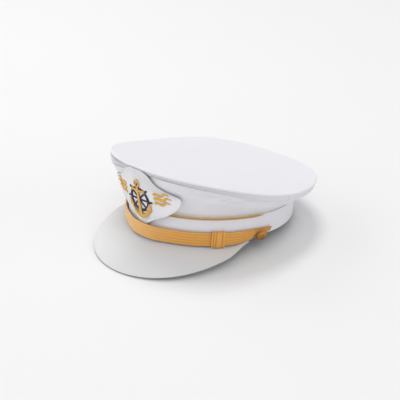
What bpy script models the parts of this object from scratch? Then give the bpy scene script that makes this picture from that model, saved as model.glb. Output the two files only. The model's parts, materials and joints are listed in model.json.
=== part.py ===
"""A peaked sailor cap: white cloth crown on a stiff band, a white visor board, a gold chin strap
with sliders and side buttons, gold piping, and a stiff badge panel with a nautical emblem.

The cap is modelled level, with the band's back edge on z = 0, the front towards -Y and the wearer's
left towards +X. An empty then tips it back until it rests on the peak's front edge and the band's back
edge, as it does on a table. An azimuth runs round the head from the front (0) to the wearer's left (90).
All sizes are in metres.
"""

import math

import bmesh
import bpy
import numpy as np
from mathutils import Matrix, Vector

MM = 0.001
DEG = math.pi / 180

# Clearances
GAP = 0.3 * MM  # between pieces that touch
PANEL_STANDOFF = 0.7 * MM  # behind the stiff badge panel

# Band: a hand-sewn oval ring round a head of about 59 cm
BAND_HALF_LENGTH = 104.4 * MM
BAND_HALF_WIDTH = 84.9 * MM
BAND_POWER = 1.9  # of its superellipse
BAND_HEIGHT = 24.6 * MM  # from the back edge to the crown seam
BAND_WALL = 2.4 * MM
BAND_FLARE = 0.4 * MM
BAND_DIP = 7.4 * MM  # how much lower its front edge hangs, where the peak is sewn on
DIP_FULL_TO = 64 * DEG
DIP_ENDS_AT = 84 * DEG

# Crown: the rim is an egg in plan, high in front and low behind
CROWN_HALF_LENGTH = 117.1 * MM
CROWN_HALF_WIDTH = 108.2 * MM
CROWN_POWER = 2.1
CROWN_FORWARD = 3.7 * MM
CROWN_ENDS_FORWARD = 2.0 * MM  # both ends lie this much further forward, and the sides further back
CROWN_EGG = 0.03  # share by which the front is narrower and the back wider
RIM_FRONT_HEIGHT = 73.4 * MM
RIM_SIDE_HEIGHT = 51.6 * MM
RIM_BACK_HEIGHT = 44.6 * MM
RIM_SHOULDER = 2.1 * MM  # extra height between front, sides and back
RIM_SCOOP = 2.6 * MM  # lower in front of the sides and higher behind them
RIM_ROUND = 2.2 * MM
TOP_SAG = 1.0 * MM
CLOTH_WALL = 1.6 * MM
STRIP_WALL = 1.2 * MM
STRIP_FRONT = 4.6 * MM
STRIP_SIDE = 8.2 * MM
STRIP_BACK = 7.3 * MM
STRIP_LEAN = 1.3 * MM  # how far its lower edge lies inside the rim
LAP = 1.2 * MM  # the side's cloth goes this far up behind the strip
SIDE_BELLY = 1.6 * MM
FOLD_DEPTH = 1.5 * MM

# Soft folds of the side, as shares of a quarter turn, of the side's height and of FOLD_DEPTH
# (azimuth, height, half width, half height, rise towards the back, depth)
SIDE_FOLDS = (
    (0.47, 0.77, 0.035, 0.11, 0.0, -0.75),
    (0.52, 0.70, 0.03, 0.10, 0.6, -0.6),
    (0.56, 0.70, 0.10, 0.12, 1.6, 0.8),
    (0.33, 0.50, 0.08, 0.22, 0.8, -0.45),
    (0.74, 0.45, 0.12, 0.20, -0.4, 0.55),
    (0.91, 0.40, 0.05, 0.25, 0.8, -0.6),
    (1.05, 0.55, 0.07, 0.25, -0.6, 0.7),
    (1.28, 0.50, 0.08, 0.22, 0.5, -0.7),
    (1.52, 0.55, 0.10, 0.25, -0.5, 0.8),
    (1.75, 0.45, 0.07, 0.22, 0.4, -0.6),
    (2.0, 0.5, 0.06, 0.3, 0.0, 0.5),
)

# Piping along the crown seam
PIPING_DIAMETER = 1.5 * MM
PIPING_SPACING = 2.0 * MM  # between the two gold cords' centres
PIPING_END = 81 * DEG
WELT_DIAMETER = 1.4 * MM
WELT_START = 83 * DEG

# Peak
PEAK_LENGTH = 42.5 * MM  # in front of the band, seen from above
PEAK_DROP = 34.7 * MM  # its front edge below the band's back edge
PEAK_HALF_WIDTH = 88 * MM
PEAK_END = 75.3 * DEG
PEAK_SWEEP_POWER = 0.73
PEAK_DROP_POWER = 0.75
PEAK_BULGE = 2.6 * MM
PEAK_WALL = 2.0 * MM

# Chin strap
STRAP_WIDTH = 15.2 * MM
STRAP_BOTTOM = -6.1 * MM
STRAP_WALL = 1.1 * MM
STRAP_BOW = 0.5 * MM
STRAP_RIB = 0.28 * MM
STRAP_RIBS = 4
STRAP_END = 89 * DEG
STRAP_SIDE_STANDOFF = 1.7 * MM  # off the band, where the slider goes round it
STRAP_END_STANDOFF = 0.5 * MM
STANDOFF_FULL_TO = 58 * DEG
STANDOFF_ENDS_AT = 72 * DEG
PANEL_HUG_TO = 14 * DEG  # the strap stands further off where the badge panel goes behind it
PANEL_HUG_ENDS_AT = 30 * DEG

# Edges of the strap, as shares of STRAP_END and of STRAP_WIDTH
# (azimuth, lower edge, upper edge)
STRAP_EDGES = (
    (0.0, 0.0, 1.0),
    (0.58, 0.0, 1.0),
    (0.68, 0.06, 1.01),
    (0.76, 0.13, 1.02),
    (0.82, 0.22, 1.02),
    (0.88, 0.38, 1.0),
    (0.94, 0.50, 0.97),
    (1.0, 0.56, 0.93),
)

# Sliders
SLIDER_AT = 46.8 * DEG
SLIDER_LENGTH = 13.5 * MM
SLIDER_WALL = 0.8 * MM
SLIDER_RIB = 0.25 * MM

# Side buttons
BUTTON_AT = 80.5 * DEG
BUTTON_HEIGHT = 1.8 * MM  # of its centre above the band's back edge
BUTTON_RADIUS = 6.6 * MM
BUTTON_DOME = 3.0 * MM
BUTTON_RIM = 1.2 * MM

# Badge panel
PANEL_BOTTOM = 6.5 * MM
PANEL_TOP = 71.5 * MM
PANEL_HALF_WIDTH = 52.0 * MM
PANEL_WALL = 1.8 * MM

# Outline of one half, as shares of the panel's height and of PANEL_HALF_WIDTH
# (height, half width)
PANEL_OUTLINE = (
    (0.0, 0.05),
    (0.055, 0.13),
    (0.12, 0.24),
    (0.20, 0.43),
    (0.28, 0.62),
    (0.36, 0.77),
    (0.45, 0.87),
    (0.55, 0.94),
    (0.62, 0.975),
    (0.65, 1.0),
    (0.675, 0.94),
    (0.705, 0.80),
    (0.745, 0.65),
    (0.795, 0.52),
    (0.855, 0.43),
    (0.91, 0.37),
    (0.96, 0.29),
    (1.0, 0.17),
)

# Emblem: heights are above the panel's bottom point
EMBLEM_WALL = 1.0 * MM
ANCHOR_CENTRE = 31.0 * MM
ANCHOR_HEIGHT = 44.0 * MM
WHEEL_CENTRE = 30.0 * MM
WHEEL_RADIUS = 14.0 * MM
WHEEL_RING = 3.0 * MM
WHEEL_SPOKES = 8
SPOKE_WIDTH = 1.9 * MM
HANDLE_LENGTH = 4.2 * MM
WAVE_LENGTH = 21.0 * MM
WAVE_WIDTH = 3.4 * MM
WAVE_SPACING = 5.0 * MM
WAVE_START = 21.5 * MM  # from the middle
WAVE_HEIGHT = 30.5 * MM  # of the lowest wave
WAVE_RISE = 12 * DEG
WAVES_A_SIDE = 3
BEND_STEP = 9.0 * MM

# How far the rim reaches in front of the head's middle
RIM_REACH = CROWN_HALF_LENGTH + CROWN_FORWARD + CROWN_ENDS_FORWARD

# Sections that the meshes are made of
COLUMNS = 58  # round the cap
STRAP_STATIONS = 45
SLIDER_STATIONS = 9
PIPING_POINTS = 39
WELT_POINTS = 43
PEAK_STATIONS = 33
PEAK_ROWS = (0.25, 0.5, 0.75, 1.0)  # shares of the way from the band to the edge
ROLL_BENDS = (48, 0)  # degrees left before the rolled edge is flat
TOP_ROWS = (0.92, 0.72, 0.42)  # shares of the way from the middle to the rolled edge
SIDE_ROWS = (0, 0.18, 0.38, 0.56, 0.72, 0.86, 1.0)  # shares of the side's height
BAND_ROWS = (0, 0.16, 1)


def smooth(value, start, end):
    """0 before start, 1 after end, and an S-curve between."""
    t = np.clip((value - start) / (end - start), 0, 1)
    return t * t * (3 - 2 * t)


def oval(azimuth, half_length, half_width, power):
    """A superellipse in plan, as x and y."""
    s, c = np.sin(azimuth), np.cos(azimuth)
    reach = (np.abs(s / half_width) ** power + np.abs(c / half_length) ** power) ** (-1 / power)
    return reach * s, -reach * c


def four_way(azimuth, front, side, back):
    """A size that goes smoothly from its front value over the sides' to the back's."""
    mean = (front + 2 * side + back) / 4
    return mean + (front - back) / 2 * np.cos(azimuth) + (front - 2 * side + back) / 4 * np.cos(2 * azimuth)


def band_outside(azimuth, height, out=0.0):
    """The band's outer wall: vertical at its lower edge, then flared a little to the crown seam."""
    grow = out + BAND_FLARE * smooth(height, 0.2 * BAND_HEIGHT, BAND_HEIGHT)
    x, y = oval(azimuth, BAND_HALF_LENGTH + grow, BAND_HALF_WIDTH + grow, BAND_POWER)
    return np.stack(np.broadcast_arrays(x, y, height), -1)


def band_edge(azimuth):
    """The height of the band's lower edge."""
    return -BAND_DIP * (1 - smooth(np.abs(azimuth), DIP_FULL_TO, DIP_ENDS_AT))


def rim(azimuth):
    """The crown's rim: an egg in plan, saddle-shaped in height."""
    x, y = oval(azimuth, CROWN_HALF_LENGTH, CROWN_HALF_WIDTH, CROWN_POWER)
    x = x * (1 - CROWN_EGG * np.cos(azimuth))
    y = y - CROWN_FORWARD - CROWN_ENDS_FORWARD * np.cos(2 * azimuth)
    z = four_way(azimuth, RIM_FRONT_HEIGHT, RIM_SIDE_HEIGHT, RIM_BACK_HEIGHT)
    z = z + RIM_SHOULDER * np.sin(2 * azimuth) ** 2 - RIM_SCOOP * np.cos(azimuth) * np.sin(azimuth) ** 2
    return np.stack([x, y, z], -1)


def rim_outward(azimuth):
    """The level direction that points out of the rim, square to it."""
    step = 1e-4
    ahead = rim(azimuth + step) - rim(azimuth - step)
    out = np.stack([-ahead[..., 1], ahead[..., 0], 0 * ahead[..., 0]], -1)
    out = out / np.linalg.norm(out, axis=-1, keepdims=True)
    return out * np.sign((out * (rim(azimuth) + [0, CROWN_FORWARD, 0])).sum(-1, keepdims=True))


def on_rim(azimuth, inwards, down):
    """Points that lie inwards of the rim and below it."""
    return rim(azimuth) - inwards * rim_outward(azimuth) - np.array([0, 0, 1]) * np.asarray(down)[..., None]


def strip_height(azimuth):
    return four_way(azimuth, STRIP_FRONT, STRIP_SIDE, STRIP_BACK)


def side_surface(azimuth, height):
    """The crown's side, from the band seam (height 0) to behind the strip (height 1), with its folds."""
    foot = band_outside(azimuth, BAND_HEIGHT + GAP)
    head = on_rim(azimuth, STRIP_LEAN + STRIP_WALL + GAP, strip_height(azimuth) - LAP)
    out = rim_outward(azimuth)
    share = np.asarray(height)[..., None]
    wave = np.zeros(np.broadcast(azimuth, height).shape)
    for at, level, wide, tall, rise, depth in SIDE_FOLDS:
        for hand in (1, -1):
            along = (hand * azimuth / (math.pi / 2) - at + 4 * (hand < 0) * (azimuth > 0)) % 4
            along = np.where(along > 2, along - 4, along)
            across = height - level - rise * along
            wave = wave + depth * np.exp(-((along / wide) ** 2) - (across / tall) ** 2)
    belly = SIDE_BELLY * np.sin(math.pi * np.clip(height, 0, 1)) ** 2 * height
    swell = belly + FOLD_DEPTH * wave * np.sin(math.pi * np.clip(height, 0, 1))
    return foot + (head - foot) * share + out * swell[..., None]


def strap_edges(azimuth):
    """The heights of the strap's lower and upper edge."""
    at, low, high = np.array(STRAP_EDGES).T
    share = np.abs(azimuth) / STRAP_END
    return (
        STRAP_BOTTOM + STRAP_WIDTH * np.interp(share, at, low),
        STRAP_BOTTOM + STRAP_WIDTH * np.interp(share, at, high),
    )


def strap_standoff(azimuth):
    """The gap between the band and the strap's back."""
    a = np.abs(azimuth)
    slope = (RIM_REACH - BAND_HALF_LENGTH) / (RIM_FRONT_HEIGHT - STRIP_FRONT / 2 - PANEL_BOTTOM)
    strap_top = STRAP_BOTTOM + STRAP_WIDTH * max(high for _, _, high in STRAP_EDGES)
    behind_panel = PANEL_STANDOFF + PANEL_WALL + GAP + slope * max(strap_top + GAP - PANEL_BOTTOM, 0)
    side = STRAP_END_STANDOFF + (STRAP_SIDE_STANDOFF - STRAP_END_STANDOFF) * (
        1 - smooth(a, STANDOFF_FULL_TO, STANDOFF_ENDS_AT)
    )
    return side + np.maximum(behind_panel - side, 0) * (1 - smooth(a, PANEL_HUG_TO, PANEL_HUG_ENDS_AT))


def strap_surface(azimuth, share, lift=0.0):
    """The strap's outer face, bowed across and ribbed along, from its lower edge (share 0) to its upper."""
    low, high = strap_edges(azimuth)
    height = low + (high - low) * share
    bow = STRAP_BOW * np.sin(math.pi * share)
    ribs = STRAP_RIB * np.sin(math.pi * STRAP_RIBS * share) ** 2
    return band_outside(azimuth, height, strap_standoff(azimuth) + STRAP_WALL + bow + ribs + lift)


def panel_point(x, height, lift=0.0):
    """The badge panel's face: straight lines from the band to the rim, at x across and at a height."""
    span = (height - PANEL_BOTTOM) / (PANEL_TOP - PANEL_BOTTOM)
    stand = PANEL_STANDOFF + PANEL_WALL + lift
    low_reach = BAND_HALF_LENGTH + stand
    high_reach = RIM_REACH + stand
    azimuth = np.arcsin(np.clip(x / (low_reach + (high_reach - low_reach) * span), -1, 1))
    foot = band_outside(azimuth, PANEL_BOTTOM, stand)
    head = on_rim(azimuth, -np.asarray(stand)[..., None], strip_height(azimuth) / 2)
    share = (height - foot[..., 2]) / (head[..., 2] - foot[..., 2])
    return foot + (head - foot) * share[..., None]


def material(name, colour, roughness, metallic=0.0):
    made = bpy.data.materials.new(name)
    made.use_nodes = True
    shader = made.node_tree.nodes["Principled BSDF"]
    shader.inputs["Base Color"].default_value = (*colour, 1)
    shader.inputs["Roughness"].default_value = roughness
    shader.inputs["Metallic"].default_value = metallic
    made.diffuse_color = (*colour, 1)
    return made


def add(name, data, finish):
    """A new object of the cap, with its own finish, carried by the empty."""
    obj = bpy.data.objects.new(name, data)
    data.materials.append(finish)
    cap.objects.link(obj)
    obj.parent = rest
    return obj


def shade(mesh, angle=35):
    mesh.shade_smooth()
    mesh.set_sharp_from_angle(angle=math.radians(angle))


def loft(name, rows, finish, closed=False, pole=None, wall=0.0):
    """An open surface through rows of points, one row a section, given its wall inwards by Solidify."""
    count, across = rows.shape[:2]
    last = across if closed else across - 1
    i, j = np.meshgrid(np.arange(count - 1), np.arange(last), indexing="ij")
    k = (j + 1) % across
    faces = np.stack([i * across + j, i * across + k, (i + 1) * across + k, (i + 1) * across + j], -1)
    faces = faces.reshape(-1, 4).tolist()
    points = rows.reshape(-1, 3).tolist()
    if pole is not None:
        top = (count - 1) * across
        faces += [[top + n, top + (n + 1) % across, len(points)] for n in range(across)]
        points.append(list(pole))
    mesh = bpy.data.meshes.new(name)
    mesh.from_pydata(points, [], faces)
    mesh.validate()
    shade(mesh)
    obj = add(name, mesh, finish)
    solid = obj.modifiers.new("Wall", "SOLIDIFY")
    solid.thickness = wall
    solid.offset = -1
    solid.use_even_offset = True


def cord(name, points, diameter, finish, closed=False):
    """A round cord through points."""
    data = bpy.data.curves.new(name, "CURVE")
    data.dimensions = "3D"
    data.bevel_depth = diameter / 2
    data.bevel_resolution = 1
    data.use_fill_caps = not closed
    spline = data.splines.new("POLY")
    spline.points.add(len(points) - 1)
    for point, place in zip(spline.points, points):
        point.co = (*place, 1)
    spline.use_cyclic_u = closed
    add(name, data, finish)


def cut_for_bending(mesh):
    """Welds a flat piece's caps to its sides, and cuts it upright every few millimetres so that it bends."""
    work = bmesh.new()
    work.from_mesh(mesh)
    bmesh.ops.remove_doubles(work, verts=work.verts, dist=0.01 * MM)
    reach = max(abs(vert.co.x) for vert in work.verts)
    for side in (-1, 1):
        for x in np.arange(BEND_STEP / 2, reach, BEND_STEP):
            geometry = work.verts[:] + work.edges[:] + work.faces[:]
            place = (side * x, 0, 0)
            bmesh.ops.bisect_plane(work, geom=geometry, dist=0.001 * MM, plane_co=place, plane_no=(1, 0, 0))
    work.to_mesh(mesh)
    work.free()


def badge_piece(name, outlines, lift, finish):
    """A flat embroidered piece: a filled outline with its holes, bent onto the badge panel."""
    data = bpy.data.curves.new(name, "CURVE")
    data.dimensions = "2D"
    data.fill_mode = "BOTH"
    data.extrude = EMBLEM_WALL / 2
    for outline in outlines:
        spline = data.splines.new("POLY")
        spline.points.add(len(outline) - 1)
        for point, (x, y) in zip(spline.points, outline):
            point.co = (x, y, 0, 1)
        spline.use_cyclic_u = True
    flat = bpy.data.objects.new(name, data)
    cap.objects.link(flat)
    graph = bpy.context.evaluated_depsgraph_get()
    mesh = bpy.data.meshes.new_from_object(flat.evaluated_get(graph))
    bpy.data.objects.remove(flat)
    mesh.name = name
    cut_for_bending(mesh)
    points = np.empty(len(mesh.vertices) * 3)
    mesh.vertices.foreach_get("co", points)
    points = points.reshape(-1, 3)
    placed = panel_point(points[:, 0], PANEL_BOTTOM + points[:, 1], lift + EMBLEM_WALL / 2 + points[:, 2])
    mesh.vertices.foreach_set("co", placed.ravel())
    mesh.update()
    shade(mesh)
    add(name, mesh, finish)


def arc(centre, radius, start, end, steps):
    """Points along a circle, both ends included, angles in degrees from +X."""
    turn = np.radians(np.linspace(start, end, steps))
    return [(centre[0] + radius * math.cos(t), centre[1] + radius * math.sin(t)) for t in turn]


def make_crown():
    """The top with its rolled edge, the strip below it and the flared side."""
    turn = np.linspace(-math.pi, math.pi, COLUMNS, endpoint=False)
    centre = np.array([0, -CROWN_FORWARD, 0])
    lift_1 = (RIM_FRONT_HEIGHT - RIM_BACK_HEIGHT) / 2 * np.cos(turn)
    lift_2 = (RIM_FRONT_HEIGHT - 2 * RIM_SIDE_HEIGHT + RIM_BACK_HEIGHT) / 4 * np.cos(2 * turn)
    mean = (RIM_FRONT_HEIGHT + 2 * RIM_SIDE_HEIGHT + RIM_BACK_HEIGHT) / 4
    rows = []
    for wall_down in (RIM_ROUND + 2 * GAP, RIM_ROUND):
        rows.append(on_rim(turn, 0, np.full_like(turn, wall_down)))
    for bend in ROLL_BENDS:
        inwards = RIM_ROUND * (1 - math.sin(bend * DEG))
        down = RIM_ROUND * (1 - math.cos(bend * DEG))
        rows.append(on_rim(turn, inwards, np.full_like(turn, down)))
    inner = rows[-1]
    for share in TOP_ROWS:
        level = mean + lift_1 * share + lift_2 * share**2 - TOP_SAG * (1 - share**2)
        level = level + RIM_SHOULDER * share**4 * np.sin(2 * turn) ** 2
        level = level - RIM_SCOOP * share**3 * np.cos(turn) * np.sin(turn) ** 2
        flat = centre + (inner - centre) * share
        rows.append(np.stack([flat[:, 0], flat[:, 1], level], -1))
    pole = (0, -CROWN_FORWARD, mean - TOP_SAG)
    loft("crown_top", np.array(rows), cloth("crown_top"), True, pole, CLOTH_WALL)

    start = RIM_ROUND + 3 * GAP
    height = strip_height(turn)
    rows = [
        on_rim(turn, STRIP_LEAN, height),
        on_rim(turn, 0, start + GAP + 0 * height),
        on_rim(turn, 0, start + 0 * height),
    ]
    loft("rim_strip", np.array(rows), cloth("rim_strip"), True, None, STRIP_WALL)

    around, up = np.meshgrid(turn, np.array(SIDE_ROWS))
    loft("crown_side", side_surface(around, up), cloth("crown_side"), True, None, CLOTH_WALL)


def make_band():
    turn = np.linspace(-math.pi, math.pi, COLUMNS, endpoint=False)
    low = band_edge(turn)
    rows = [band_outside(turn, low + (BAND_HEIGHT - low) * share) for share in BAND_ROWS]
    rows[1] = np.stack([rows[0][:, 0], rows[0][:, 1], rows[1][:, 2]], -1)
    loft("band", np.array(rows), cloth("band"), True, None, BAND_WALL)


def make_piping():
    gold = material("gold cord", (0.72, 0.46, 0.13), 0.45, 0.35)
    white = material("white welt", (0.84, 0.84, 0.86), 0.8)
    turn = np.linspace(-PIPING_END, PIPING_END, PIPING_POINTS)
    top_of_cords = (PIPING_SPACING + PIPING_DIAMETER) / 2
    for name, side in (("piping_upper", 1), ("piping_lower", -1)):
        height = BAND_HEIGHT + side * PIPING_SPACING / 2
        out = GAP + PIPING_DIAMETER / 2
        if side > 0:
            beside = side_surface(turn, top_of_cords / (RIM_BACK_HEIGHT - BAND_HEIGHT))
            overhang = (beside - band_outside(turn, BAND_HEIGHT))[:, :2]
            out = out + np.linalg.norm(overhang, axis=1)
        cord(name, band_outside(turn, height + 0 * turn, out), PIPING_DIAMETER, gold)
    turn = np.linspace(WELT_START, 2 * math.pi - WELT_START, WELT_POINTS)
    turn = np.where(turn > math.pi, turn - 2 * math.pi, turn)
    height = BAND_HEIGHT - WELT_DIAMETER / 2
    cord("welt_back", band_outside(turn, height + 0 * turn, GAP + WELT_DIAMETER / 2), WELT_DIAMETER, white)


def make_peak():
    """The visor board: ruled from a land under the band's edge to its outer edge, with a bulge."""
    share = np.sin(np.linspace(-45, 45, PEAK_STATIONS) * DEG) / math.sin(45 * DEG)
    turn = share * PEAK_END
    sweep = share * math.pi / 2
    under = band_edge(turn) - GAP
    inner = band_outside(turn, under, -BAND_WALL)
    land = band_outside(turn, under, GAP)
    end_height = band_edge(np.array(PEAK_END)) - GAP
    end_y = land[0, 1]
    curl = np.clip(np.cos(sweep), 0, 1)
    edge = np.stack(
        [
            PEAK_HALF_WIDTH * np.sin(sweep),
            end_y - (BAND_HALF_LENGTH + PEAK_LENGTH + end_y) * curl**PEAK_SWEEP_POWER,
            end_height - (PEAK_DROP + end_height) * curl**PEAK_DROP_POWER,
        ],
        -1,
    )
    rows = [inner, land]
    for across in PEAK_ROWS:
        row = land + (edge - land) * across
        row[:, 2] += PEAK_BULGE * 4 * across * (1 - across) * curl
        rows.append(row)
    finish = material("peak", (0.80, 0.80, 0.81), 0.35)
    loft("peak", np.array(rows[::-1]), finish, False, None, PEAK_WALL)


def make_strap():
    turn = np.linspace(-STRAP_END, STRAP_END, STRAP_STATIONS)
    share = np.linspace(0, 1, 2 * STRAP_RIBS + 1)
    across, along = np.meshgrid(share, turn)
    rows = strap_surface(along, across)
    finish = material("gold ribbon", (0.74, 0.47, 0.14), 0.5, 0.3)
    loft("chin_strap", rows[:, ::-1], finish, False, None, STRAP_WALL)


def make_slider(name, side):
    """A ribbed loop that goes round the strap and clears it on every side."""
    reach = band_outside(np.array(SLIDER_AT), 0.0)
    half = SLIDER_LENGTH / 2 / math.hypot(reach[0], reach[1])
    turn = side * (SLIDER_AT + np.linspace(-half, half, SLIDER_STATIONS))
    low, high = strap_edges(turn)
    margin = GAP + SLIDER_WALL
    inner = strap_standoff(turn) - margin
    outer = strap_standoff(turn) + STRAP_WALL + STRAP_BOW + STRAP_RIB + margin
    ribs = SLIDER_RIB * (np.arange(SLIDER_STATIONS) % 2)
    corners = (
        (low - margin, inner),
        (low - margin, outer),
        ((low + high) / 2, outer + ribs),
        (high + margin, outer),
        (high + margin, inner),
    )
    rows = np.stack([band_outside(turn, height, out) for height, out in corners], 1)
    finish = material(name, (0.76, 0.5, 0.17), 0.45, 0.35)
    loft(name, rows[::-side], finish, True, None, SLIDER_WALL)


def make_button(name, side):
    """A turned dome with a rolled rim, its axis square to the band."""
    azimuth = side * BUTTON_AT
    seat = band_outside(np.array(azimuth), BUTTON_HEIGHT)
    step = 1e-3
    ahead = band_outside(np.array(azimuth + step), BUTTON_HEIGHT) - seat
    normal = Vector((-ahead[1], ahead[0], 0)).normalized()
    normal = normal if normal.x * side > 0 else -normal
    lift = STRAP_END_STANDOFF + STRAP_WALL + STRAP_BOW + STRAP_RIB + 2 * GAP
    profile = [(0, BUTTON_RIM + BUTTON_DOME)]
    for bend in (25, 45, 62, 78):
        reach = BUTTON_RADIUS * 0.92 * math.sin(bend * DEG)
        profile.append((reach, BUTTON_RIM + BUTTON_DOME * math.cos(bend * DEG)))
    profile += [
        (BUTTON_RADIUS, BUTTON_RIM * 0.75),
        (BUTTON_RADIUS, BUTTON_RIM * 0.25),
        (BUTTON_RADIUS * 0.93, 0),
        (0, 0),
    ]
    mesh = bpy.data.meshes.new(name)
    edges = [(n, n + 1) for n in range(len(profile) - 1)]
    mesh.from_pydata([(x, 0, z) for x, z in profile], edges, [])
    obj = add(name, mesh, material(name, (0.8, 0.55, 0.2), 0.25, 1.0))
    screw = obj.modifiers.new("Turn", "SCREW")
    screw.steps = 18
    screw.render_steps = 18
    screw.use_merge_vertices = True
    screw.merge_threshold = 0.01 * MM
    screw.use_smooth_shade = True
    place = Vector(seat) + normal * lift
    obj.matrix_local = Matrix.Translation(place) @ normal.to_track_quat("Z", "Y").to_matrix().to_4x4()


def make_panel():
    """The stiff badge panel, widest at its two tips, tucked behind the strap at its foot."""
    level, reach = np.array(PANEL_OUTLINE).T
    height = PANEL_BOTTOM + (PANEL_TOP - PANEL_BOTTOM) * level
    across = np.linspace(-1, 1, 11)
    x = PANEL_HALF_WIDTH * reach[:, None] * across
    rows = panel_point(x, height[:, None] + 0 * x)
    loft("badge_panel", rows, cloth("badge_panel"), False, None, PANEL_WALL)


def anchor_outline(height):
    """One anchor on the origin: ring, stock, shank, and arms with their flukes, drawn 42 units high."""
    unit = height / 42
    half = [(2.0, -14.4), (1.6, 7.6)]
    half += arc((8.6, 9.0), 1.4, -90, 90, 5)
    half += [(1.6, 10.4), (1.6, 12.9)]
    half += arc((0, 16.6), 4.0, -66, 78, 7)
    arms = arc((0, -7.2), 13.8, -82, -18, 6)
    fluke = [(16.6, -10.6), (14.2, -2.6), (8.4, -8.6)]
    inside = arc((0, -7.2), 10.4, -24, -72, 4)
    right = [(0, -21.0)] + arms + fluke + inside + half + [(0, 20.6)]
    left = [(-x, y) for x, y in right[-2:0:-1]]
    eye = arc((0, 16.6), 2.1, 0, 330, 12)
    return [[(x * unit, y * unit) for x, y in outline] for outline in (right + left, eye)]


def wheel_outlines():
    """A ship's wheel on the origin: a ring with handles outside it and spokes inside."""
    outer, inner = WHEEL_RADIUS, WHEEL_RADIUS - WHEEL_RING
    hub = SPOKE_WIDTH * 1.1
    sector = 2 * math.pi / WHEEL_SPOKES
    outline, holes = [], []
    for n in range(WHEEL_SPOKES):
        turn = n * sector
        lean = math.asin(SPOKE_WIDTH / 2 / outer)
        grip = outer + HANDLE_LENGTH
        for reach, angle in (
            (outer, turn - lean),
            (grip - SPOKE_WIDTH, turn - lean),
            (grip, turn),
            (grip - SPOKE_WIDTH, turn + lean),
            (outer, turn + lean),
            (outer, turn + sector / 2),
        ):
            outline.append((reach * math.sin(angle), reach * math.cos(angle)))
        near, far = math.asin(SPOKE_WIDTH / 2 / hub), math.asin(SPOKE_WIDTH / 2 / inner)
        hole = [
            (hub / math.cos(near / 2) * 1.25, turn + sector / 2),
            (inner, turn + far),
            (inner, turn + sector / 2),
            (inner, turn + sector - far),
        ]
        holes.append([(reach * math.sin(angle), reach * math.cos(angle)) for reach, angle in hole])
    return [outline] + holes


def wave_outline(side, number):
    """A wave stripe: an S-curve that tapers to a point, leaning up towards the panel's tip."""
    share = np.linspace(0, 1, 9)
    along = share * WAVE_LENGTH * (1 - 0.12 * abs(number - 1))
    swing = 0.34 * WAVE_WIDTH * np.sin(share * 3.2 * math.pi)
    half = WAVE_WIDTH / 2 * np.sqrt(np.clip(1 - share**3, 0.01, 1))
    middle = np.stack([along, swing], -1)
    aside = np.stack([0 * half, half], -1)
    points = np.concatenate([middle + aside, (middle - aside)[::-1]])
    c, s = math.cos(WAVE_RISE), math.sin(WAVE_RISE)
    x = WAVE_START + points[:, 0] * c - points[:, 1] * s
    y = WAVE_HEIGHT + number * WAVE_SPACING + points[:, 0] * s + points[:, 1] * c
    return [list(zip((side * x).tolist(), y.tolist()))]


def shifted(outlines, up):
    return [[(x, y + up) for x, y in outline] for outline in outlines]


def make_emblem():
    navy = material("navy thread", (0.03, 0.035, 0.12), 0.7)
    gold = material("gold thread", (0.78, 0.5, 0.14), 0.45, 0.4)
    badge_piece("emblem_wheel", shifted(wheel_outlines(), WHEEL_CENTRE), GAP, navy)
    over = 2 * GAP + EMBLEM_WALL
    badge_piece("emblem_anchor", shifted(anchor_outline(ANCHOR_HEIGHT), ANCHOR_CENTRE), over, gold)
    for word, side in (("left", 1), ("right", -1)):
        for number in range(WAVES_A_SIDE):
            badge_piece(f"emblem_wave_{word}_{number + 1}", wave_outline(side, number), GAP, gold)


def cloth(name):
    return material(name, (0.84, 0.84, 0.87), 0.85)


def world_points(names):
    """The evaluated points of some objects, in the frame of the empty."""
    bpy.context.view_layer.update()
    graph = bpy.context.evaluated_depsgraph_get()
    found = []
    for name in names:
        held = bpy.data.objects[name].evaluated_get(graph)
        mesh = held.to_mesh()
        points = np.empty(len(mesh.vertices) * 3)
        mesh.vertices.foreach_get("co", points)
        matrix = np.array(held.matrix_world)
        found.append(points.reshape(-1, 3) @ matrix[:3, :3].T + matrix[:3, 3])
        held.to_mesh_clear()
    return np.concatenate(found)


def lean(points, angle):
    """The points after the cap is tipped back by an angle about X."""
    c, s = math.cos(angle), math.sin(angle)
    x, y, z = points.T
    return np.stack([x, y * c + z * s, z * c - y * s], -1)


def lay_down():
    """Tips the cap back until the peak's front and the band's back are equally low, and centres it."""
    peak, back = world_points(["peak"]), world_points(["band"])
    back = back[back[:, 1] > 0]
    low, high = 0.0, 30 * DEG
    for _ in range(50):
        angle = (low + high) / 2
        if lean(peak, angle)[:, 2].min() < lean(back, angle)[:, 2].min():
            low = angle
        else:
            high = angle
    every = lean(world_points([obj.name for obj in cap.objects if obj.type != "EMPTY"]), angle)
    middle = (every.min(axis=0) + every.max(axis=0)) / 2
    rest.rotation_euler = (-angle, 0, 0)
    rest.location = (-middle[0], -middle[1], -every[:, 2].min())
    bpy.context.view_layer.update()


for old in list(bpy.data.objects):
    bpy.data.objects.remove(old)
cap = bpy.data.collections.new("Sailor cap")
bpy.context.scene.collection.children.link(cap)
rest = bpy.data.objects.new("cap", None)
cap.objects.link(rest)

make_crown()
make_band()
make_piping()
make_peak()
make_strap()
for word, side in (("left", 1), ("right", -1)):
    make_slider(f"slider_{word}", side)
    make_button(f"button_{word}", side)
make_panel()
make_emblem()
lay_down()
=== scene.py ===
"""The looks of a peaked sailor cap: white cloth, a satin peak, gold trim and an embroidered badge.

Each piece is worked out for a level cap, with the band's back edge on z = 0, the front towards -Y and the
wearer's left towards +X. An azimuth runs round the head from the front (0) to the wearer's left (90 degrees).
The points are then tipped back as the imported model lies. All sizes are in metres.
"""

import json
import math

import bpy
import numpy as np
from bpy.props import FloatProperty, FloatVectorProperty, IntProperty, PointerProperty
from mathutils import Matrix, Vector


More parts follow.
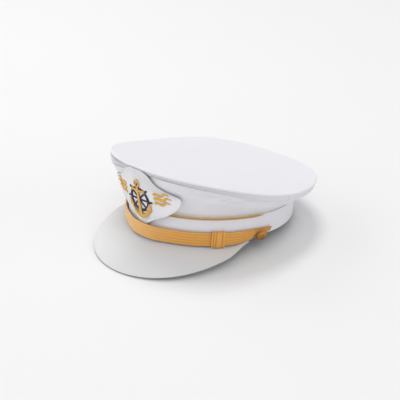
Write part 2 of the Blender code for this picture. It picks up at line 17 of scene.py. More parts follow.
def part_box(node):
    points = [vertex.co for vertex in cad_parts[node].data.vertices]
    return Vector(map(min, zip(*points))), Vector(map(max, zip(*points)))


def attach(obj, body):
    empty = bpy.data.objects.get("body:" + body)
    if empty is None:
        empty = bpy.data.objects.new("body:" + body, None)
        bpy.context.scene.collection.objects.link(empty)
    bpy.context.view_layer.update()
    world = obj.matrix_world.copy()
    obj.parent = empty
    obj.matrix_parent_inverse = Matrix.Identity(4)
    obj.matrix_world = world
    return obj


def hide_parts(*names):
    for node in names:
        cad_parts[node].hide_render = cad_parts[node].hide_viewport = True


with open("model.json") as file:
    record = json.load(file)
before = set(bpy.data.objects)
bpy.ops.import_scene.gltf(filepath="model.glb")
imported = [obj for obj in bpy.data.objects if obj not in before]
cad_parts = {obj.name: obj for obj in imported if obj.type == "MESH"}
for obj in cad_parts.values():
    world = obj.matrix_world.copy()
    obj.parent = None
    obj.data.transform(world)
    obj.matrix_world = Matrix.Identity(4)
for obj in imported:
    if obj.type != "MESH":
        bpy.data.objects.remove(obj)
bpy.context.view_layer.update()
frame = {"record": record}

bl_info = {
    "name": "Sailor Cap",
    "version": (1, 0, 0),
    "blender": (4, 5, 0),
    "location": "View3D > Sidebar > Sailor Cap",
    "description": "Makes the cloth, gold trim and embroidery of a peaked sailor cap",
    "category": "Add Mesh",
}

MM = 0.001
DEG = math.pi / 180
TURN = 2 * math.pi

# Band
BAND_HALF_LENGTH = 104.4 * MM
BAND_HALF_WIDTH = 84.9 * MM
BAND_POWER = 1.9  # of its superellipse
BAND_HEIGHT = 24.6 * MM
BAND_WALL = 2.4 * MM
BAND_FLARE = 0.4 * MM
BAND_DIP = 7.4 * MM
DIP_FULL_TO = 51 * DEG
DIP_ENDS_AT = 81 * DEG

# Crown
CROWN_HALF_LENGTH = 117.1 * MM
CROWN_HALF_WIDTH = 108.2 * MM
CROWN_POWER = 2.1
CROWN_FORWARD = 3.7 * MM
CROWN_ENDS_FORWARD = 2.0 * MM
CROWN_EGG = 0.03
RIM_FRONT_HEIGHT = 73.4 * MM
RIM_SIDE_HEIGHT = 51.6 * MM
RIM_BACK_HEIGHT = 44.6 * MM
RIM_SHOULDER = 2.1 * MM
RIM_SCOOP = 2.6 * MM
RIM_ROUND = 1.3 * MM
TOP_SAG = 1.0 * MM
CLOTH_WALL = 1.6 * MM
TOP_WALL = 1.2 * MM
STRIP_WALL = 1.2 * MM
STRIP_FRONT = 4.6 * MM
STRIP_SIDE = 8.2 * MM
STRIP_BACK = 7.3 * MM
STRIP_LEAN = 1.4 * MM
STRIP_RECESS = 0.5 * MM
LAP = 1.2 * MM
SIDE_BELLY = 1.6 * MM
FOLD_DEPTH = 3.0 * MM
GAP = 0.3 * MM

# Where the side creases under the strip's foot, and bulges again below that
STRIP_CREASE = 1.1 * MM
STRIP_CREASE_BELOW = 0.5 * MM
STRIP_CREASE_HALF = 0.6 * MM
STRIP_BULGE = 0.44 * MM
STRIP_BULGE_BELOW = 2.2 * MM
STRIP_BULGE_HALF = 0.9 * MM

# Where the side is fuller: all across the front, and behind the badge panel's two edges
FRONT_FULLNESS = 1.3 * MM
FRONT_HALF_ANGLE = 38 * DEG
PANEL_FULLNESS = 0.8 * MM
PANEL_FULL_AT = 18 * DEG
PANEL_FULL_HALF_ANGLE = 10 * DEG
PANEL_FULL_LEVEL = 0.8  # of the side's height

# Upright seams, and the row of stitches as a share of the strip's height
SIDE_SEAM_AT = 89.5 * DEG
SIDE_SEAM_HALF_ANGLE = 0.35 * DEG
SIDE_SEAM_DEPTH = 0.45 * MM
BACK_SEAM_HALF_ANGLE = 0.3 * DEG
BACK_SEAM_DEPTH = 0.4 * MM
STITCH_LINE = 0.78
STITCH_SINK = 0.2 * MM
STITCH_RADIUS = 0.3 * MM
STITCH_ROOT = 0.25 * MM  # how far embroidery goes in

# On the wearer's right of the front the strip hangs lower, as a bell over the azimuth
STRIP_DROOP = 12.0 * MM
DROOP_LEAN = 3.0 * MM
DROOP_AT = -47 * DEG
DROOP_HALF_ANGLE = 29 * DEG
SIDE_BULGE = 7.0 * MM  # of the side below it, over BULGE_HALF_ANGLE
BULGE_HALF_ANGLE = 12 * DEG
BULGE_LEVEL = 0.85  # of the side's height

# A soft fold under the rim's roll, on the same side, as a bell over the azimuth: a valley and a welt below it
FOLD_AT = -25 * DEG
FOLD_HALF_ANGLE = 28 * DEG
FOLD_BELOW = 3.6 * MM
FOLD_VALLEY = 1.1 * MM
FOLD_VALLEY_HALF = 0.6 * MM
FOLD_WELT = 0.9 * MM
FOLD_WELT_BELOW = 1.6 * MM
FOLD_WELT_HALF = 0.9 * MM

# Unevenness of the top: a shallow dent near its edge, and slow waves all over it
TOP_DENT = 0.5 * MM
TOP_DENT_AT = 14 * DEG
TOP_WAVES = 0.25 * MM

# Soft folds of the side, as shares of a quarter turn, of the side's height and of FOLD_DEPTH
# (azimuth, height, half width, half height, rise towards the back, depth)
SIDE_FOLDS = (
    (0.47, 0.77, 0.035, 0.11, 0.0, -0.75),
    (0.52, 0.70, 0.03, 0.10, 0.6, -0.6),
    (0.56, 0.70, 0.10, 0.12, 1.6, 0.8),
    (0.33, 0.50, 0.08, 0.22, 0.8, -0.15),
    (0.74, 0.45, 0.12, 0.20, -0.4, 0.55),
    (0.88, 0.40, 0.07, 0.25, 0.8, 0.6),
    (1.05, 0.55, 0.07, 0.25, -0.6, 0.7),
    (1.28, 0.50, 0.08, 0.22, 0.5, -0.7),
    (1.52, 0.55, 0.10, 0.25, -0.5, 0.8),
    (1.75, 0.45, 0.07, 0.22, 0.4, -0.6),
    (2.0, 0.5, 0.06, 0.3, 0.0, 0.5),
)

# Short creases where the cloth is eased into the strip and the band, in the same measures
SIDE_CREASES = (
    (0.30, 0.82, 0.05, 0.028, 0.5, -0.45),
    (0.37, 0.80, 0.06, 0.030, 0.6, -0.55),
    (0.45, 0.76, 0.07, 0.032, 0.7, -0.7),
    (0.50, 0.83, 0.04, 0.030, -0.4, 0.6),
    (0.55, 0.70, 0.05, 0.034, 0.9, -0.8),
    (0.62, 0.74, 0.07, 0.040, -0.5, 0.9),
    (0.70, 0.80, 0.05, 0.030, 0.6, -0.6),
    (0.77, 0.84, 0.06, 0.028, 0.4, -0.5),
    (0.88, 0.81, 0.05, 0.030, 0.6, -0.5),
    (0.96, 0.20, 0.03, 0.045, 0.9, -0.5),
    (0.98, 0.34, 0.04, 0.060, -1.6, 0.7),
    (1.12, 0.80, 0.06, 0.030, 0.5, -0.5),
    (1.34, 0.76, 0.06, 0.035, -0.6, -0.45),
    (1.48, 0.22, 0.05, 0.050, 0.7, -0.4),
    (1.66, 0.80, 0.06, 0.032, 0.6, -0.45),
    (1.86, 0.78, 0.05, 0.030, -0.5, -0.4),
)

# Piping along the crown seam
PIPING_DIAMETER = 1.45 * MM
PIPING_SPACING = 2.9 * MM
PIPING_TAPER = 7 * DEG
PIPING_STRANDS = 3
STRAND_RADIUS = 0.29  # as a share of the cord's diameter
PIPING_END = 81 * DEG
WELT_DIAMETER = 1.4 * MM
WELT_START = 83 * DEG

# Peak
PEAK_LENGTH = 42.5 * MM
PEAK_DROP = 34.7 * MM
PEAK_HALF_WIDTH = 88 * MM
PEAK_END = 68.5 * DEG
PEAK_CORNER = 0.6  # how much narrower its rounded ends are
PEAK_CORNER_FROM = 0.86  # as a share of PEAK_END
PEAK_SWEEP_POWER = 0.80
PEAK_DROP_POWER = 0.75
PEAK_BULGE = 2.6 * MM
PEAK_WALL = 2.0 * MM

# Chin strap
STRAP_WIDTH = 15.2 * MM
STRAP_BOTTOM = -6.1 * MM
STRAP_WALL = 1.1 * MM
STRAP_BOW = 0.5 * MM
STRAP_END = 89 * DEG
STRAP_SIDE_STANDOFF = 1.7 * MM
STRAP_END_STANDOFF = 0.5 * MM
STANDOFF_FULL_TO = 58 * DEG
STANDOFF_ENDS_AT = 72 * DEG
PANEL_HUG_TO = 6 * DEG
PANEL_HUG_ENDS_AT = 18 * DEG
STRAP_STEP_AT = 0.845  # where its folded end is tucked in, as a share of STRAP_END
STRAP_CURL = 1.5 * MM  # how far the tip's upper corner stands off
STRAP_CREASE = 0.5 * MM

# Edges of the strap, as shares of STRAP_END and of STRAP_WIDTH
# (azimuth, lower edge, upper edge)
STRAP_EDGES = (
    (0.0, 0.0, 1.0),
    (0.58, 0.0, 1.0),
    (0.68, 0.07, 1.01),
    (0.76, 0.20, 1.02),
    (0.80, 0.23, 1.02),
    (STRAP_STEP_AT, 0.42, 1.01),
    (0.88, 0.47, 1.0),
    (0.94, 0.53, 0.97),
    (1.0, 0.60, 0.93),
)

# Sliders and side buttons
SLIDER_AT = 46.8 * DEG
SLIDER_LENGTH = 13.5 * MM
SLIDER_WALL = 0.8 * MM
SLIDER_GROOVES = (-0.7, -0.34, 0.6)  # as shares of half its length
SLIDER_RIB = 0.3 * MM
SLIDER_BOW = 0.35 * MM
BUTTON_AT = 78.6 * DEG
BUTTON_HEIGHT = 1.4 * MM
BUTTON_RADIUS = 6.6 * MM
BUTTON_NOD = 26 * DEG  # how far it faces down, and forward by BUTTON_SWING, on its shank
BUTTON_SWING = 12 * DEG
BUTTON_SHANK = 1.3 * MM
BUTTON_DOME = 2.3 * MM
BUTTON_RIM = 1.2 * MM
BUTTON_CORDING = 0.22 * MM
BUTTON_ANCHOR = 1.25 * BUTTON_RADIUS

# Badge panel
PANEL_STANDOFF = 0.7 * MM
PANEL_PRESS = 0.25 * MM  # how much closer it lies at the rim
PANEL_BOTTOM = 6.5 * MM
PANEL_TOP = 71.5 * MM
PANEL_HALF_WIDTH = 52.0 * MM
PANEL_WALL = 1.8 * MM  # with its backing, which the strap passes over
PANEL_BOARD = 1.3 * MM

# Outline of one half, as shares of the panel's height and of PANEL_HALF_WIDTH
# (height, half width)
PANEL_OUTLINE = (
    (0.0, 0.05),
    (0.055, 0.13),
    (0.12, 0.24),
    (0.20, 0.43),
    (0.28, 0.62),
    (0.36, 0.77),
    (0.45, 0.885),
    (0.55, 0.965),
    (0.61, 0.995),
    (0.645, 0.985),
    (0.675, 0.92),
    (0.705, 0.80),
    (0.745, 0.65),
    (0.795, 0.52),
    (0.855, 0.43),
    (0.91, 0.37),
    (0.96, 0.29),
    (1.0, 0.17),
)

# Emblem: heights are above the panel's bottom point
ANCHOR_CENTRE = 31.0 * MM
ANCHOR_HEIGHT = 44.0 * MM
WHEEL_CENTRE = 30.0 * MM
WHEEL_RADIUS = 14.0 * MM
WHEEL_RING = 3.0 * MM
WHEEL_SPOKES = 8
SPOKE_WIDTH = 1.9 * MM
HANDLE_LENGTH = 4.2 * MM
WAVE_LENGTH = 21.0 * MM
WAVE_WIDTH = 3.4 * MM
WAVE_SPACING = 5.0 * MM
WAVE_START = 21.5 * MM
WAVE_HEIGHT = 30.5 * MM
WAVE_RISE = 12 * DEG
WAVES_A_SIDE = 3
LOWER_BASE = 0.1 * MM
UPPER_BASE = 1.1 * MM  # of the anchor, which lies on the wheel

# Stage
FLOOR_SIDE = 30.0
CLIP_END = 60.0
SENSOR_WIDTH = 36.0  # in mm

# Soft lights: their turn clockwise from behind the cap as the camera sees it, elevation, power in W and
# share of the full size
# (name, turn, elevation, power, size)
SOFT_LIGHTS = (
    ("high_back", -8 * DEG, 70 * DEG, 28, 0.5),
    ("left_back", -45 * DEG, 30 * DEG, 14, 1.0),
    ("left", -90 * DEG, 30 * DEG, 6, 1.0),
    ("low_left", -110 * DEG, 15 * DEG, 11, 1.0),
    ("right", 110 * DEG, 15 * DEG, 12, 1.0),
    ("low_front", 180 * DEG, 25 * DEG, 4, 1.0),
    ("high_front", 165 * DEG, 60 * DEG, 14, 1.0),
)

RIM_REACH = CROWN_HALF_LENGTH + CROWN_FORWARD + CROWN_ENDS_FORWARD

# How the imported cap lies, read from its seat and its band
SEAT = next(mount for mount in frame["record"]["mounts"] if mount["name"] == "band_seat")
TILT = math.atan2(-SEAT["axis"][1], -SEAT["axis"][2])
BACK_REACH = (BAND_HALF_LENGTH + BAND_FLARE) * math.cos(TILT) + BAND_HEIGHT * math.sin(TILT)
REST_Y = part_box("band")[1][1] - BACK_REACH
REST_Z = BAND_HALF_LENGTH * math.sin(TILT)


def colour_setting(name, description, default):
    return FloatVectorProperty(
        name=name, description=description, subtype="COLOR", size=3, min=0, max=1, default=default
    )


def length_setting(name, description, default, least=0.0):
    return FloatProperty(name=name, description=description, unit="LENGTH", default=default, min=least)


def angle_setting(name, description, default):
    return FloatProperty(name=name, description=description, subtype="ANGLE", default=default)


class ClothSettings(bpy.types.PropertyGroup):
    """The white cloth and the peak."""

    colour: colour_setting("Cloth", "Colour of the woven white cloth", (0.852, 0.845, 0.887))
    peak_colour: colour_setting("Peak", "Colour of the peak's coated board", (0.70, 0.70, 0.705))
    weave: length_setting("Weave", "Distance between two threads of the cloth", 0.42 * MM, 0.1 * MM)
    stitch: length_setting("Stitch", "Length of one stitch of the rim's seam, with its gap", 3.2 * MM, 1 * MM)
    pucker: length_setting("Pucker", "How far the cloth gathers along its seams", 0.24 * MM)


class TrimSettings(bpy.types.PropertyGroup):
    """The gold trim."""

    ribbon_colour: colour_setting("Ribbon", "Colour of the chin strap's raised ribs", (0.83, 0.40, 0.082))
    cord_colour: colour_setting("Cord", "Colour of the gold piping", (0.72, 0.46, 0.15))
    # The buttons' colour is kept dark: painted shade for the shade they sit in at the strap's end
    button_colour: colour_setting("Button", "Colour of the gilt side buttons", (0.52, 0.26, 0.075))
    ribs: IntProperty(name="Ribs", description="Lengthwise ribs of the strap", default=5, min=1, max=12)
    rib_height: length_setting("Rib height", "How far a rib of the strap stands out", 0.3 * MM)
    cord_lay: length_setting(
        "Cord lay", "Length in which a strand of the piping goes once round", 5.0 * MM, 1 * MM
    )


class EmblemSettings(bpy.types.PropertyGroup):
    """The embroidery."""

    navy: colour_setting("Navy", "Colour of the dark thread", (0.012, 0.012, 0.055))
    gold: colour_setting("Gold", "Colour of the gold thread", (0.90, 0.53, 0.13))
    thread: length_setting("Thread", "Width of one thread of the satin stitch", 0.42 * MM, 0.2 * MM)
    padding: length_setting("Padding", "How far the embroidery stands off the panel", 1.0 * MM, 0.2 * MM)


class StageSettings(bpy.types.PropertyGroup):
    """The camera, the floor and the light."""

    azimuth: angle_setting("Azimuth", "Of the camera, from the cap's front to the wearer's left", 44.39 * DEG)
    elevation: angle_setting("Elevation", "Of the camera above the floor", 26.83 * DEG)
    roll: angle_setting("Roll", "How far the camera leans clockwise", 1.43 * DEG)
    distance: length_setting("Distance", "From the camera to the point it looks at", 1.1)
    aim: FloatVectorProperty(
        name="Aim",
        description="The point that the camera looks at",
        subtype="TRANSLATION",
        size=3,
        default=(-1.5 * MM, -0.7 * MM, 31.2 * MM),
    )
    lens: FloatProperty(name="Lens", description="Focal length in mm, on a 36 mm sensor", default=89.1)
    floor_colour: colour_setting("Floor", "Colour of the plain floor", (0.865, 0.865, 0.868))
    light_size: length_setting("Light size", "Side of each square soft light", 2.0, 0.1)
    light_distance: length_setting("Light distance", "From the cap to each light", 3.0, 1.0)
    brightness: FloatProperty(name="Brightness", description="Share of the lights' power", default=1.0, min=0)
    ambient: FloatProperty(name="Ambient", description="Strength of light from all round", default=0.5, min=0)


SETTINGS = {
    "cap_cloth": ClothSettings,
    "cap_trim": TrimSettings,
    "cap_emblem": EmblemSettings,
    "cap_stage": StageSettings,
}


# Shapes of the level cap


def smooth(value, start, end):
    """0 before start, 1 after end, and an S-curve between."""
    t = np.clip((value - start) / (end - start), 0, 1)
    return t * t * (3 - 2 * t)


def groove(value, width):
    """A fine valley or bell, 1 deep at value 0, as exp(-(value / width) ** 2)."""
    return np.exp(-((value / width) ** 2))


def hump(value, start, end):
    """One arch of a sine from start to end, and 0 outside."""
    return np.sin(math.pi * np.clip((value - start) / (end - start), 0, 1))


def unit(vectors):
    return vectors / np.linalg.norm(vectors, axis=-1, keepdims=True)


def azimuths(count):
    """Azimuths all round the cap, starting at the back."""
    return np.linspace(-math.pi, math.pi, count, endpoint=False)


def circle(count):
    return np.linspace(0, TURN, count, endpoint=False)


def oval(azimuth, half_length, half_width, power):
    """A superellipse in plan, as x and y: the reach where |x / a| ** p + |y / b| ** p is 1."""
    s, c = np.sin(azimuth), np.cos(azimuth)
    reach = (np.abs(s / half_width) ** power + np.abs(c / half_length) ** power) ** (-1 / power)
    return reach * s, -reach * c


def four_way(azimuth, front, side, back, share=1.0):
    """A size that goes from its front value over the sides' to the back's, by two cosines. At a share of the
    way out from the middle, each cosine is damped by its power of the share."""
    once = (front - back) / 2 * share * np.cos(azimuth)
    twice = (front - 2 * side + back) / 4 * share**2 * np.cos(2 * azimuth)
    return (front + 2 * side + back) / 4 + once + twice


def band_outside(azimuth, height, out=0.0):
    """The band's outer wall: the oval of the head, grown a little towards the crown seam."""
    grow = out + BAND_FLARE * smooth(height, 0.2 * BAND_HEIGHT, BAND_HEIGHT)
    x, y = oval(azimuth, BAND_HALF_LENGTH + grow, BAND_HALF_WIDTH + grow, BAND_POWER)
    return np.stack(np.broadcast_arrays(x, y, height), -1)


def band_edge(azimuth):
    """The height of the band's lower edge: level behind, and lower in front by an S-curve."""
    return -BAND_DIP * (1 - smooth(np.abs(azimuth), DIP_FULL_TO, DIP_ENDS_AT))


def crown_height(azimuth, share=1.0):
    """The height of the rim, or of the top at a share of the way out to it: a sum of cosines that makes a
    saddle, each damped by its power of the share."""
    height = four_way(azimuth, RIM_FRONT_HEIGHT, RIM_SIDE_HEIGHT, RIM_BACK_HEIGHT, share)
    height = height + RIM_SHOULDER * share**4 * np.sin(2 * azimuth) ** 2
    return height - RIM_SCOOP * share**3 * np.cos(azimuth) * np.sin(azimuth) ** 2


def rim(azimuth):
    """The crown's rim: an egg in plan, at the crown's height."""
    x, y = oval(azimuth, CROWN_HALF_LENGTH, CROWN_HALF_WIDTH, CROWN_POWER)
    x = x * (1 - CROWN_EGG * np.cos(azimuth))
    y = y - CROWN_FORWARD - CROWN_ENDS_FORWARD * np.cos(2 * azimuth)
    return np.stack([x, y, crown_height(azimuth)], -1)


def rim_outward(azimuth):
    """The level direction square to the rim, from the difference of two points of it close together."""
    step = 1e-4
    ahead = rim(azimuth + step) - rim(azimuth - step)
    out = unit(np.stack([-ahead[..., 1], ahead[..., 0], 0 * ahead[..., 0]], -1))
    return out * np.sign((out * (rim(azimuth) + [0, CROWN_FORWARD, 0])).sum(-1, keepdims=True))


def on_rim(azimuth, inwards, down):
    """Points that lie inwards of the rim and below it."""
    shift = np.asarray(inwards)[..., None] * rim_outward(azimuth)
    return rim(azimuth) - shift - np.array([0, 0, 1]) * np.asarray(down)[..., None]


def strip_height(azimuth):
    return four_way(azimuth, STRIP_FRONT, STRIP_SIDE, STRIP_BACK)


def droop(azimuth):
    """How much the strip hangs lower: a bell, 1 at its middle."""
    return groove(azimuth - DROOP_AT, DROOP_HALF_ANGLE)


def strip_foot(azimuth):
    """How far below the rim the strip ends."""
    return strip_height(azimuth) + STRIP_DROOP * droop(azimuth)


def strip_lean(azimuth, share):
    """How far the strip leans in from the rim: less in front, and at its foot alone where it hangs lower."""
    lean = STRIP_LEAN * (0.4 + 0.6 * smooth(np.abs(azimuth), 20 * DEG, 60 * DEG))
    hanging = droop(azimuth)
    return (STRIP_RECESS + lean * share) * (1 - 1.15 * hanging) + DROOP_LEAN * share**2 * hanging


def side_seams(azimuth):
    """The upright seams of the strip, one on each side."""
    return groove(np.abs(azimuth) - SIDE_SEAM_AT, SIDE_SEAM_HALF_ANGLE)


def back_seam(azimuth):
    return groove(np.abs(azimuth) - math.pi, BACK_SEAM_HALF_ANGLE)


def gathers(azimuth, count):
    """Uneven gathers along a seam: the product of two sines whose counts have no common rhythm."""
    uneven = 0.6 + 0.4 * np.sin(0.37 * count * azimuth + 1)
    return np.sin(count * azimuth + 1.3 * np.sin(7 * azimuth)) * uneven


def folds(azimuth, height):
    """The sum of the tables' folds and creases on both sides: bells that slant as they go round."""
    found = np.zeros(np.broadcast(azimuth, height).shape)
    for at, level, wide, tall, rise, depth in SIDE_FOLDS + SIDE_CREASES:
        for hand in (1, -1):
            along = (hand * azimuth / (math.pi / 2) - at + 2) % 4 - 2
            found += depth * groove(along, wide) * groove(height - level - rise * along, tall)
    return found


def side_surface(azimuth, height, pucker=0.0):
    """The crown's side: ruled from the band seam to behind the strip, and swollen by a belly, by slanting
    folds, and by gathers that die away from both seams. Bells make it fuller in front, behind the badge
    panel's edges and below the hanging part of the strip, and crease it where the strip ends."""
    foot = band_outside(azimuth, BAND_HEIGHT + GAP)
    head = on_rim(azimuth, strip_lean(azimuth, 1) + STRIP_WALL + GAP, strip_foot(azimuth) - LAP)
    full = FRONT_FULLNESS * groove(azimuth, FRONT_HALF_ANGLE) * (0.2 + 1.6 * height)
    hanging = groove(azimuth - DROOP_AT, BULGE_HALF_ANGLE)
    full = full + SIDE_BULGE * hanging * groove(height - BULGE_LEVEL, 0.2)
    arch = hump(height, 0, 1)
    swell = SIDE_BELLY * arch**2 * height + (FOLD_DEPTH * folds(azimuth, height) + full) * arch
    swell = swell + pucker * gathers(azimuth, 83) * hump(height, 0, 0.4)
    swell = swell + pucker * gathers(azimuth, 61) * hump(height, 0.62, 1)
    below = (1 - height) * np.linalg.norm(head - foot, axis=-1) - LAP
    swell = swell - STRIP_CREASE * groove(below - STRIP_CREASE_BELOW, STRIP_CREASE_HALF)
    swell = swell + STRIP_BULGE * groove(below - STRIP_BULGE_BELOW, STRIP_BULGE_HALF)
    behind_edges = groove(np.abs(azimuth) - PANEL_FULL_AT, PANEL_FULL_HALF_ANGLE)
    swell = swell + PANEL_FULLNESS * behind_edges * groove(height - PANEL_FULL_LEVEL, 0.16)
    return foot + (head - foot) * height[..., None] + rim_outward(azimuth) * swell[..., None]


def top_surface(azimuth, share):
    """The crown's top inside its rolled edge, at a share of the way out: the crown's height less a sag that
    ends at the edge."""
    edge = on_rim(azimuth, RIM_ROUND, 0)
    centre = np.array([0, -CROWN_FORWARD, 0])
    flat = centre + (edge - centre) * share[..., None]
    height = crown_height(azimuth, share) - TOP_SAG * (1 - share**2)
    return np.stack([flat[..., 0], flat[..., 1], height], -1)


def strap_edges(azimuth):
    """The heights of the strap's lower and upper edge, from the table."""
    at, low, high = np.array(STRAP_EDGES).T
    share = np.abs(azimuth) / STRAP_END
    return (
        STRAP_BOTTOM + STRAP_WIDTH * np.interp(share, at, low),
        STRAP_BOTTOM + STRAP_WIDTH * np.interp(share, at, high),
    )


def strap_standoff(azimuth):
    """The gap between the band and the strap's back, which is widest where the badge panel is behind it."""
    a = np.abs(azimuth)
    slope = (RIM_REACH - BAND_HALF_LENGTH) / (RIM_FRONT_HEIGHT - STRIP_FRONT / 2 - PANEL_BOTTOM)
    strap_top = STRAP_BOTTOM + STRAP_WIDTH * max(high for _, _, high in STRAP_EDGES)
    behind_panel = PANEL_STANDOFF + PANEL_WALL + GAP + slope * max(strap_top + GAP - PANEL_BOTTOM, 0)
    side = STRAP_END_STANDOFF + (STRAP_SIDE_STANDOFF - STRAP_END_STANDOFF) * (
        1 - smooth(a, STANDOFF_FULL_TO, STANDOFF_ENDS_AT)
    )
    return side + np.maximum(behind_panel - side, 0) * (1 - smooth(a, PANEL_HUG_TO, PANEL_HUG_ENDS_AT))


def panel_point(x, height, lift=0.0):
    """The badge panel's face: straight lines from the band to the rim, at x across and at a height."""
    span = (height - PANEL_BOTTOM) / (PANEL_TOP - PANEL_BOTTOM)
    stand = PANEL_STANDOFF + PANEL_BOARD + lift
    low_reach = BAND_HALF_LENGTH + stand
    high_reach = RIM_REACH + stand - PANEL_PRESS
    azimuth = np.arcsin(np.clip(x / (low_reach + (high_reach - low_reach) * span), -1, 1))
    foot = band_outside(azimuth, PANEL_BOTTOM, stand)
    head = on_rim(azimuth, PANEL_PRESS - stand, strip_height(azimuth) / 2)
    share = (height - foot[..., 2]) / (head[..., 2] - foot[..., 2])
    return foot + (head - foot) * share[..., None]


def through(table, steps):
    """A table's rows, smoothed by a Catmull-Rom curve with some steps to a row."""
    rows = np.array(table)
    rows = np.concatenate([[2 * rows[0] - rows[1]], rows, [2 * rows[-1] - rows[-2]]])
    at = np.linspace(0, len(table) - 1, (len(table) - 1) * steps + 1)
    n = np.minimum(at.astype(int), len(table) - 2)
    t = (at - n)[:, None]
    before, start, end, after = (rows[n + k] for k in range(4))
    bend = 2 * before - 5 * start + 4 * end - after
    twist = 3 * (start - end) + after - before
    return start + t / 2 * (end - before + t * (bend + t * twist))


# Meshes from grids of points


def lie_down(points):
    """The points of the level cap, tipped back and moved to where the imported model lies."""
    c, s = math.cos(TILT), math.sin(TILT)
    x, y, z = np.moveaxis(points, -1, 0)
    return np.stack([x, y * c + z * s + REST_Y, z * c - y * s + REST_Z], -1)


def quads(rows, across, round_rows, round_across):
    """The corner numbers of a grid's faces, which may close round on itself either way."""
    i, j = np.indices((rows - (not round_rows), across - (not round_across))).reshape(2, -1)
    a, b = (i + 1) % rows, (j + 1) % across
    return np.stack([i * across + j, i * across + b, a * across + b, a * across + j], -1)


def run_along(path):
    """The distance run along a path at each of its points, starting at 0."""
    return np.concatenate([[0], np.cumsum(np.linalg.norm(np.diff(path, axis=0), axis=-1))])


def lengths(points, axis):
    """The distance run along one axis of a grid, on its middle line."""
    line = np.moveaxis(points, axis, 0)
    return run_along(line[:, line.shape[1] // 2])


def cloth_uv(points, round_across):
    """A map in metres: the run along the middle row, and the run up the middle column."""
    shut = np.concatenate([points, points[:, :1]], 1) if round_across else points
    u, v = np.meshgrid(lengths(shut, 1), lengths(points, 0))
    return np.stack([u, v], -1)


def end_fans(points, count, rows, across, ends, pole):
    """The points with the middles of the closed ends added, and the triangles round those middles. Each end
    is a row and the hand that it turns. Its middle is the row's own, or the pole."""
    fans = np.empty((0, 3), int)
    ring = np.arange(across)
    for row, hand in ends:
        start = (np.arange(count) * rows * across + row * across)[:, None]
        if pole is None:
            middles = points[start + ring].mean(axis=1)
        else:
            middles = lie_down(np.array([pole], float))
        centre = (len(points) + np.arange(count))[:, None] + 0 * ring
        sides = (start + ring, start + (ring + 1) % across)
        fans = np.concatenate([fans, np.stack([centre, *sides[::-hand]], -1).reshape(-1, 3)])
        points = np.concatenate([points, middles])
    return points, fans


def inside_out(points, faces):
    """Whether a closed form's faces look inwards: the volume that they shut in is then negative."""
    a, b, c, d = (points - points.mean(axis=0))[faces].transpose(1, 0, 2)
    return (a * np.cross(b, c)).sum() + (a * np.cross(c, d)).sum() < 0


def grid_mesh(name, grids, round_rows, round_across, ends, pole, uv, open_surface):
    """One mesh with its map, from grids of points of one size."""
    count, rows, across = grids.shape[:3]
    face = quads(rows, across, round_rows, round_across)
    faces = (face[None] + (np.arange(count) * rows * across)[:, None, None]).reshape(-1, 4)
    points, fans = end_fans(lie_down(grids.reshape(-1, 3)), count, rows, across, ends, pole)
    if uv is None:
        uv = np.array([cloth_uv(grid, round_across) for grid in grids])
        if round_rows:
            uv = np.concatenate([uv, uv[:, :1] + [0, 1]], 1)
    else:
        uv = uv[None]
    spread = quads(uv.shape[1], uv.shape[2], False, False)
    corners = uv.reshape(count, -1, 2)[:, spread].reshape(-1, 2)
    if not open_surface and inside_out(points, faces):
        faces, fans = faces[:, ::-1], fans[:, ::-1]
        corners = corners.reshape(-1, 4, 2)[:, ::-1].reshape(-1, 2)
    mesh = bpy.data.meshes.new(name)
    mesh.vertices.add(len(points))
    mesh.vertices.foreach_set("co", points.ravel())
    mesh.loops.add(faces.size + fans.size)
    mesh.loops.foreach_set("vertex_index", np.concatenate([faces.ravel(), fans.ravel()]))
    mesh.polygons.add(len(faces) + len(fans))
    starts = np.concatenate([np.arange(len(faces)) * 4, faces.size + np.arange(len(fans)) * 3])
    mesh.polygons.foreach_set("loop_start", starts)
    layer = mesh.uv_layers.new(name="weave")
    fan_corners = np.zeros((fans.size, 2)) + corners[:1]
    layer.data.foreach_set("uv", np.concatenate([corners, fan_corners]).ravel())
    mesh.update(calc_edges=True)
    mesh.validate()
    mesh.shade_smooth()
    return mesh


def put(name, grids, finish, round_rows=False, round_across=False, caps=False, pole=None, uv=None,
        wall=0.0, edge=0.0, cut_edge=None, replaces=None):
    """A piece from one grid of points (rows, across, 3) or more of one size, which rides with the cap.

    caps closes both ends of a tube with a fan. pole closes the last row to one point. wall gives an open
    surface its thickness inwards, with cut_edge as its edge's finish, and edge rounds its edges.
    """
    grids = np.asarray(grids, float)
    grids = grids if grids.ndim == 4 else grids[None]
    last = (grids.shape[1] - 1, -1)
    ends = [(0, 1), last] if caps else [last] if pole else []
    mesh = grid_mesh(name, grids, round_rows, round_across, ends, pole, uv, wall > 0)
    mesh.materials.append(finish)
    obj = bpy.data.objects.new(name, mesh)
    bpy.context.scene.collection.objects.link(obj)
    if wall:
        solid = obj.modifiers.new("Wall", "SOLIDIFY")
        solid.thickness = wall
        solid.offset = -1
        solid.use_even_offset = True
    if cut_edge:
        mesh.materials.append(cut_edge)
        solid.material_offset_rim = 1
    if edge:
        bevel = obj.modifiers.new("Soft edges", "BEVEL")
        bevel.width = edge
        bevel.segments = 3
        bevel.limit_method = "ANGLE"
        bevel.angle_limit = 55 * DEG
    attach(obj, "root")
    if replaces:
        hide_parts(replaces)
    return obj


def frames(path):
    """Along a path: two directions square to it and to each other, the second of them near upright."""
    ahead = unit(np.gradient(path, axis=0))
    side = unit(np.cross(ahead, [0, 0, 1]))
    return side, np.cross(side, ahead)


def tube(path, radius, sides):
    """Circles of a radius square to a path."""
    side, up = frames(path)
    turn = circle(sides)[:, None]
    radius = np.broadcast_to(radius, path.shape[:1])[:, None, None]
    return path[:, None] + radius * (np.cos(turn) * side[:, None] + np.sin(turn) * up[:, None])


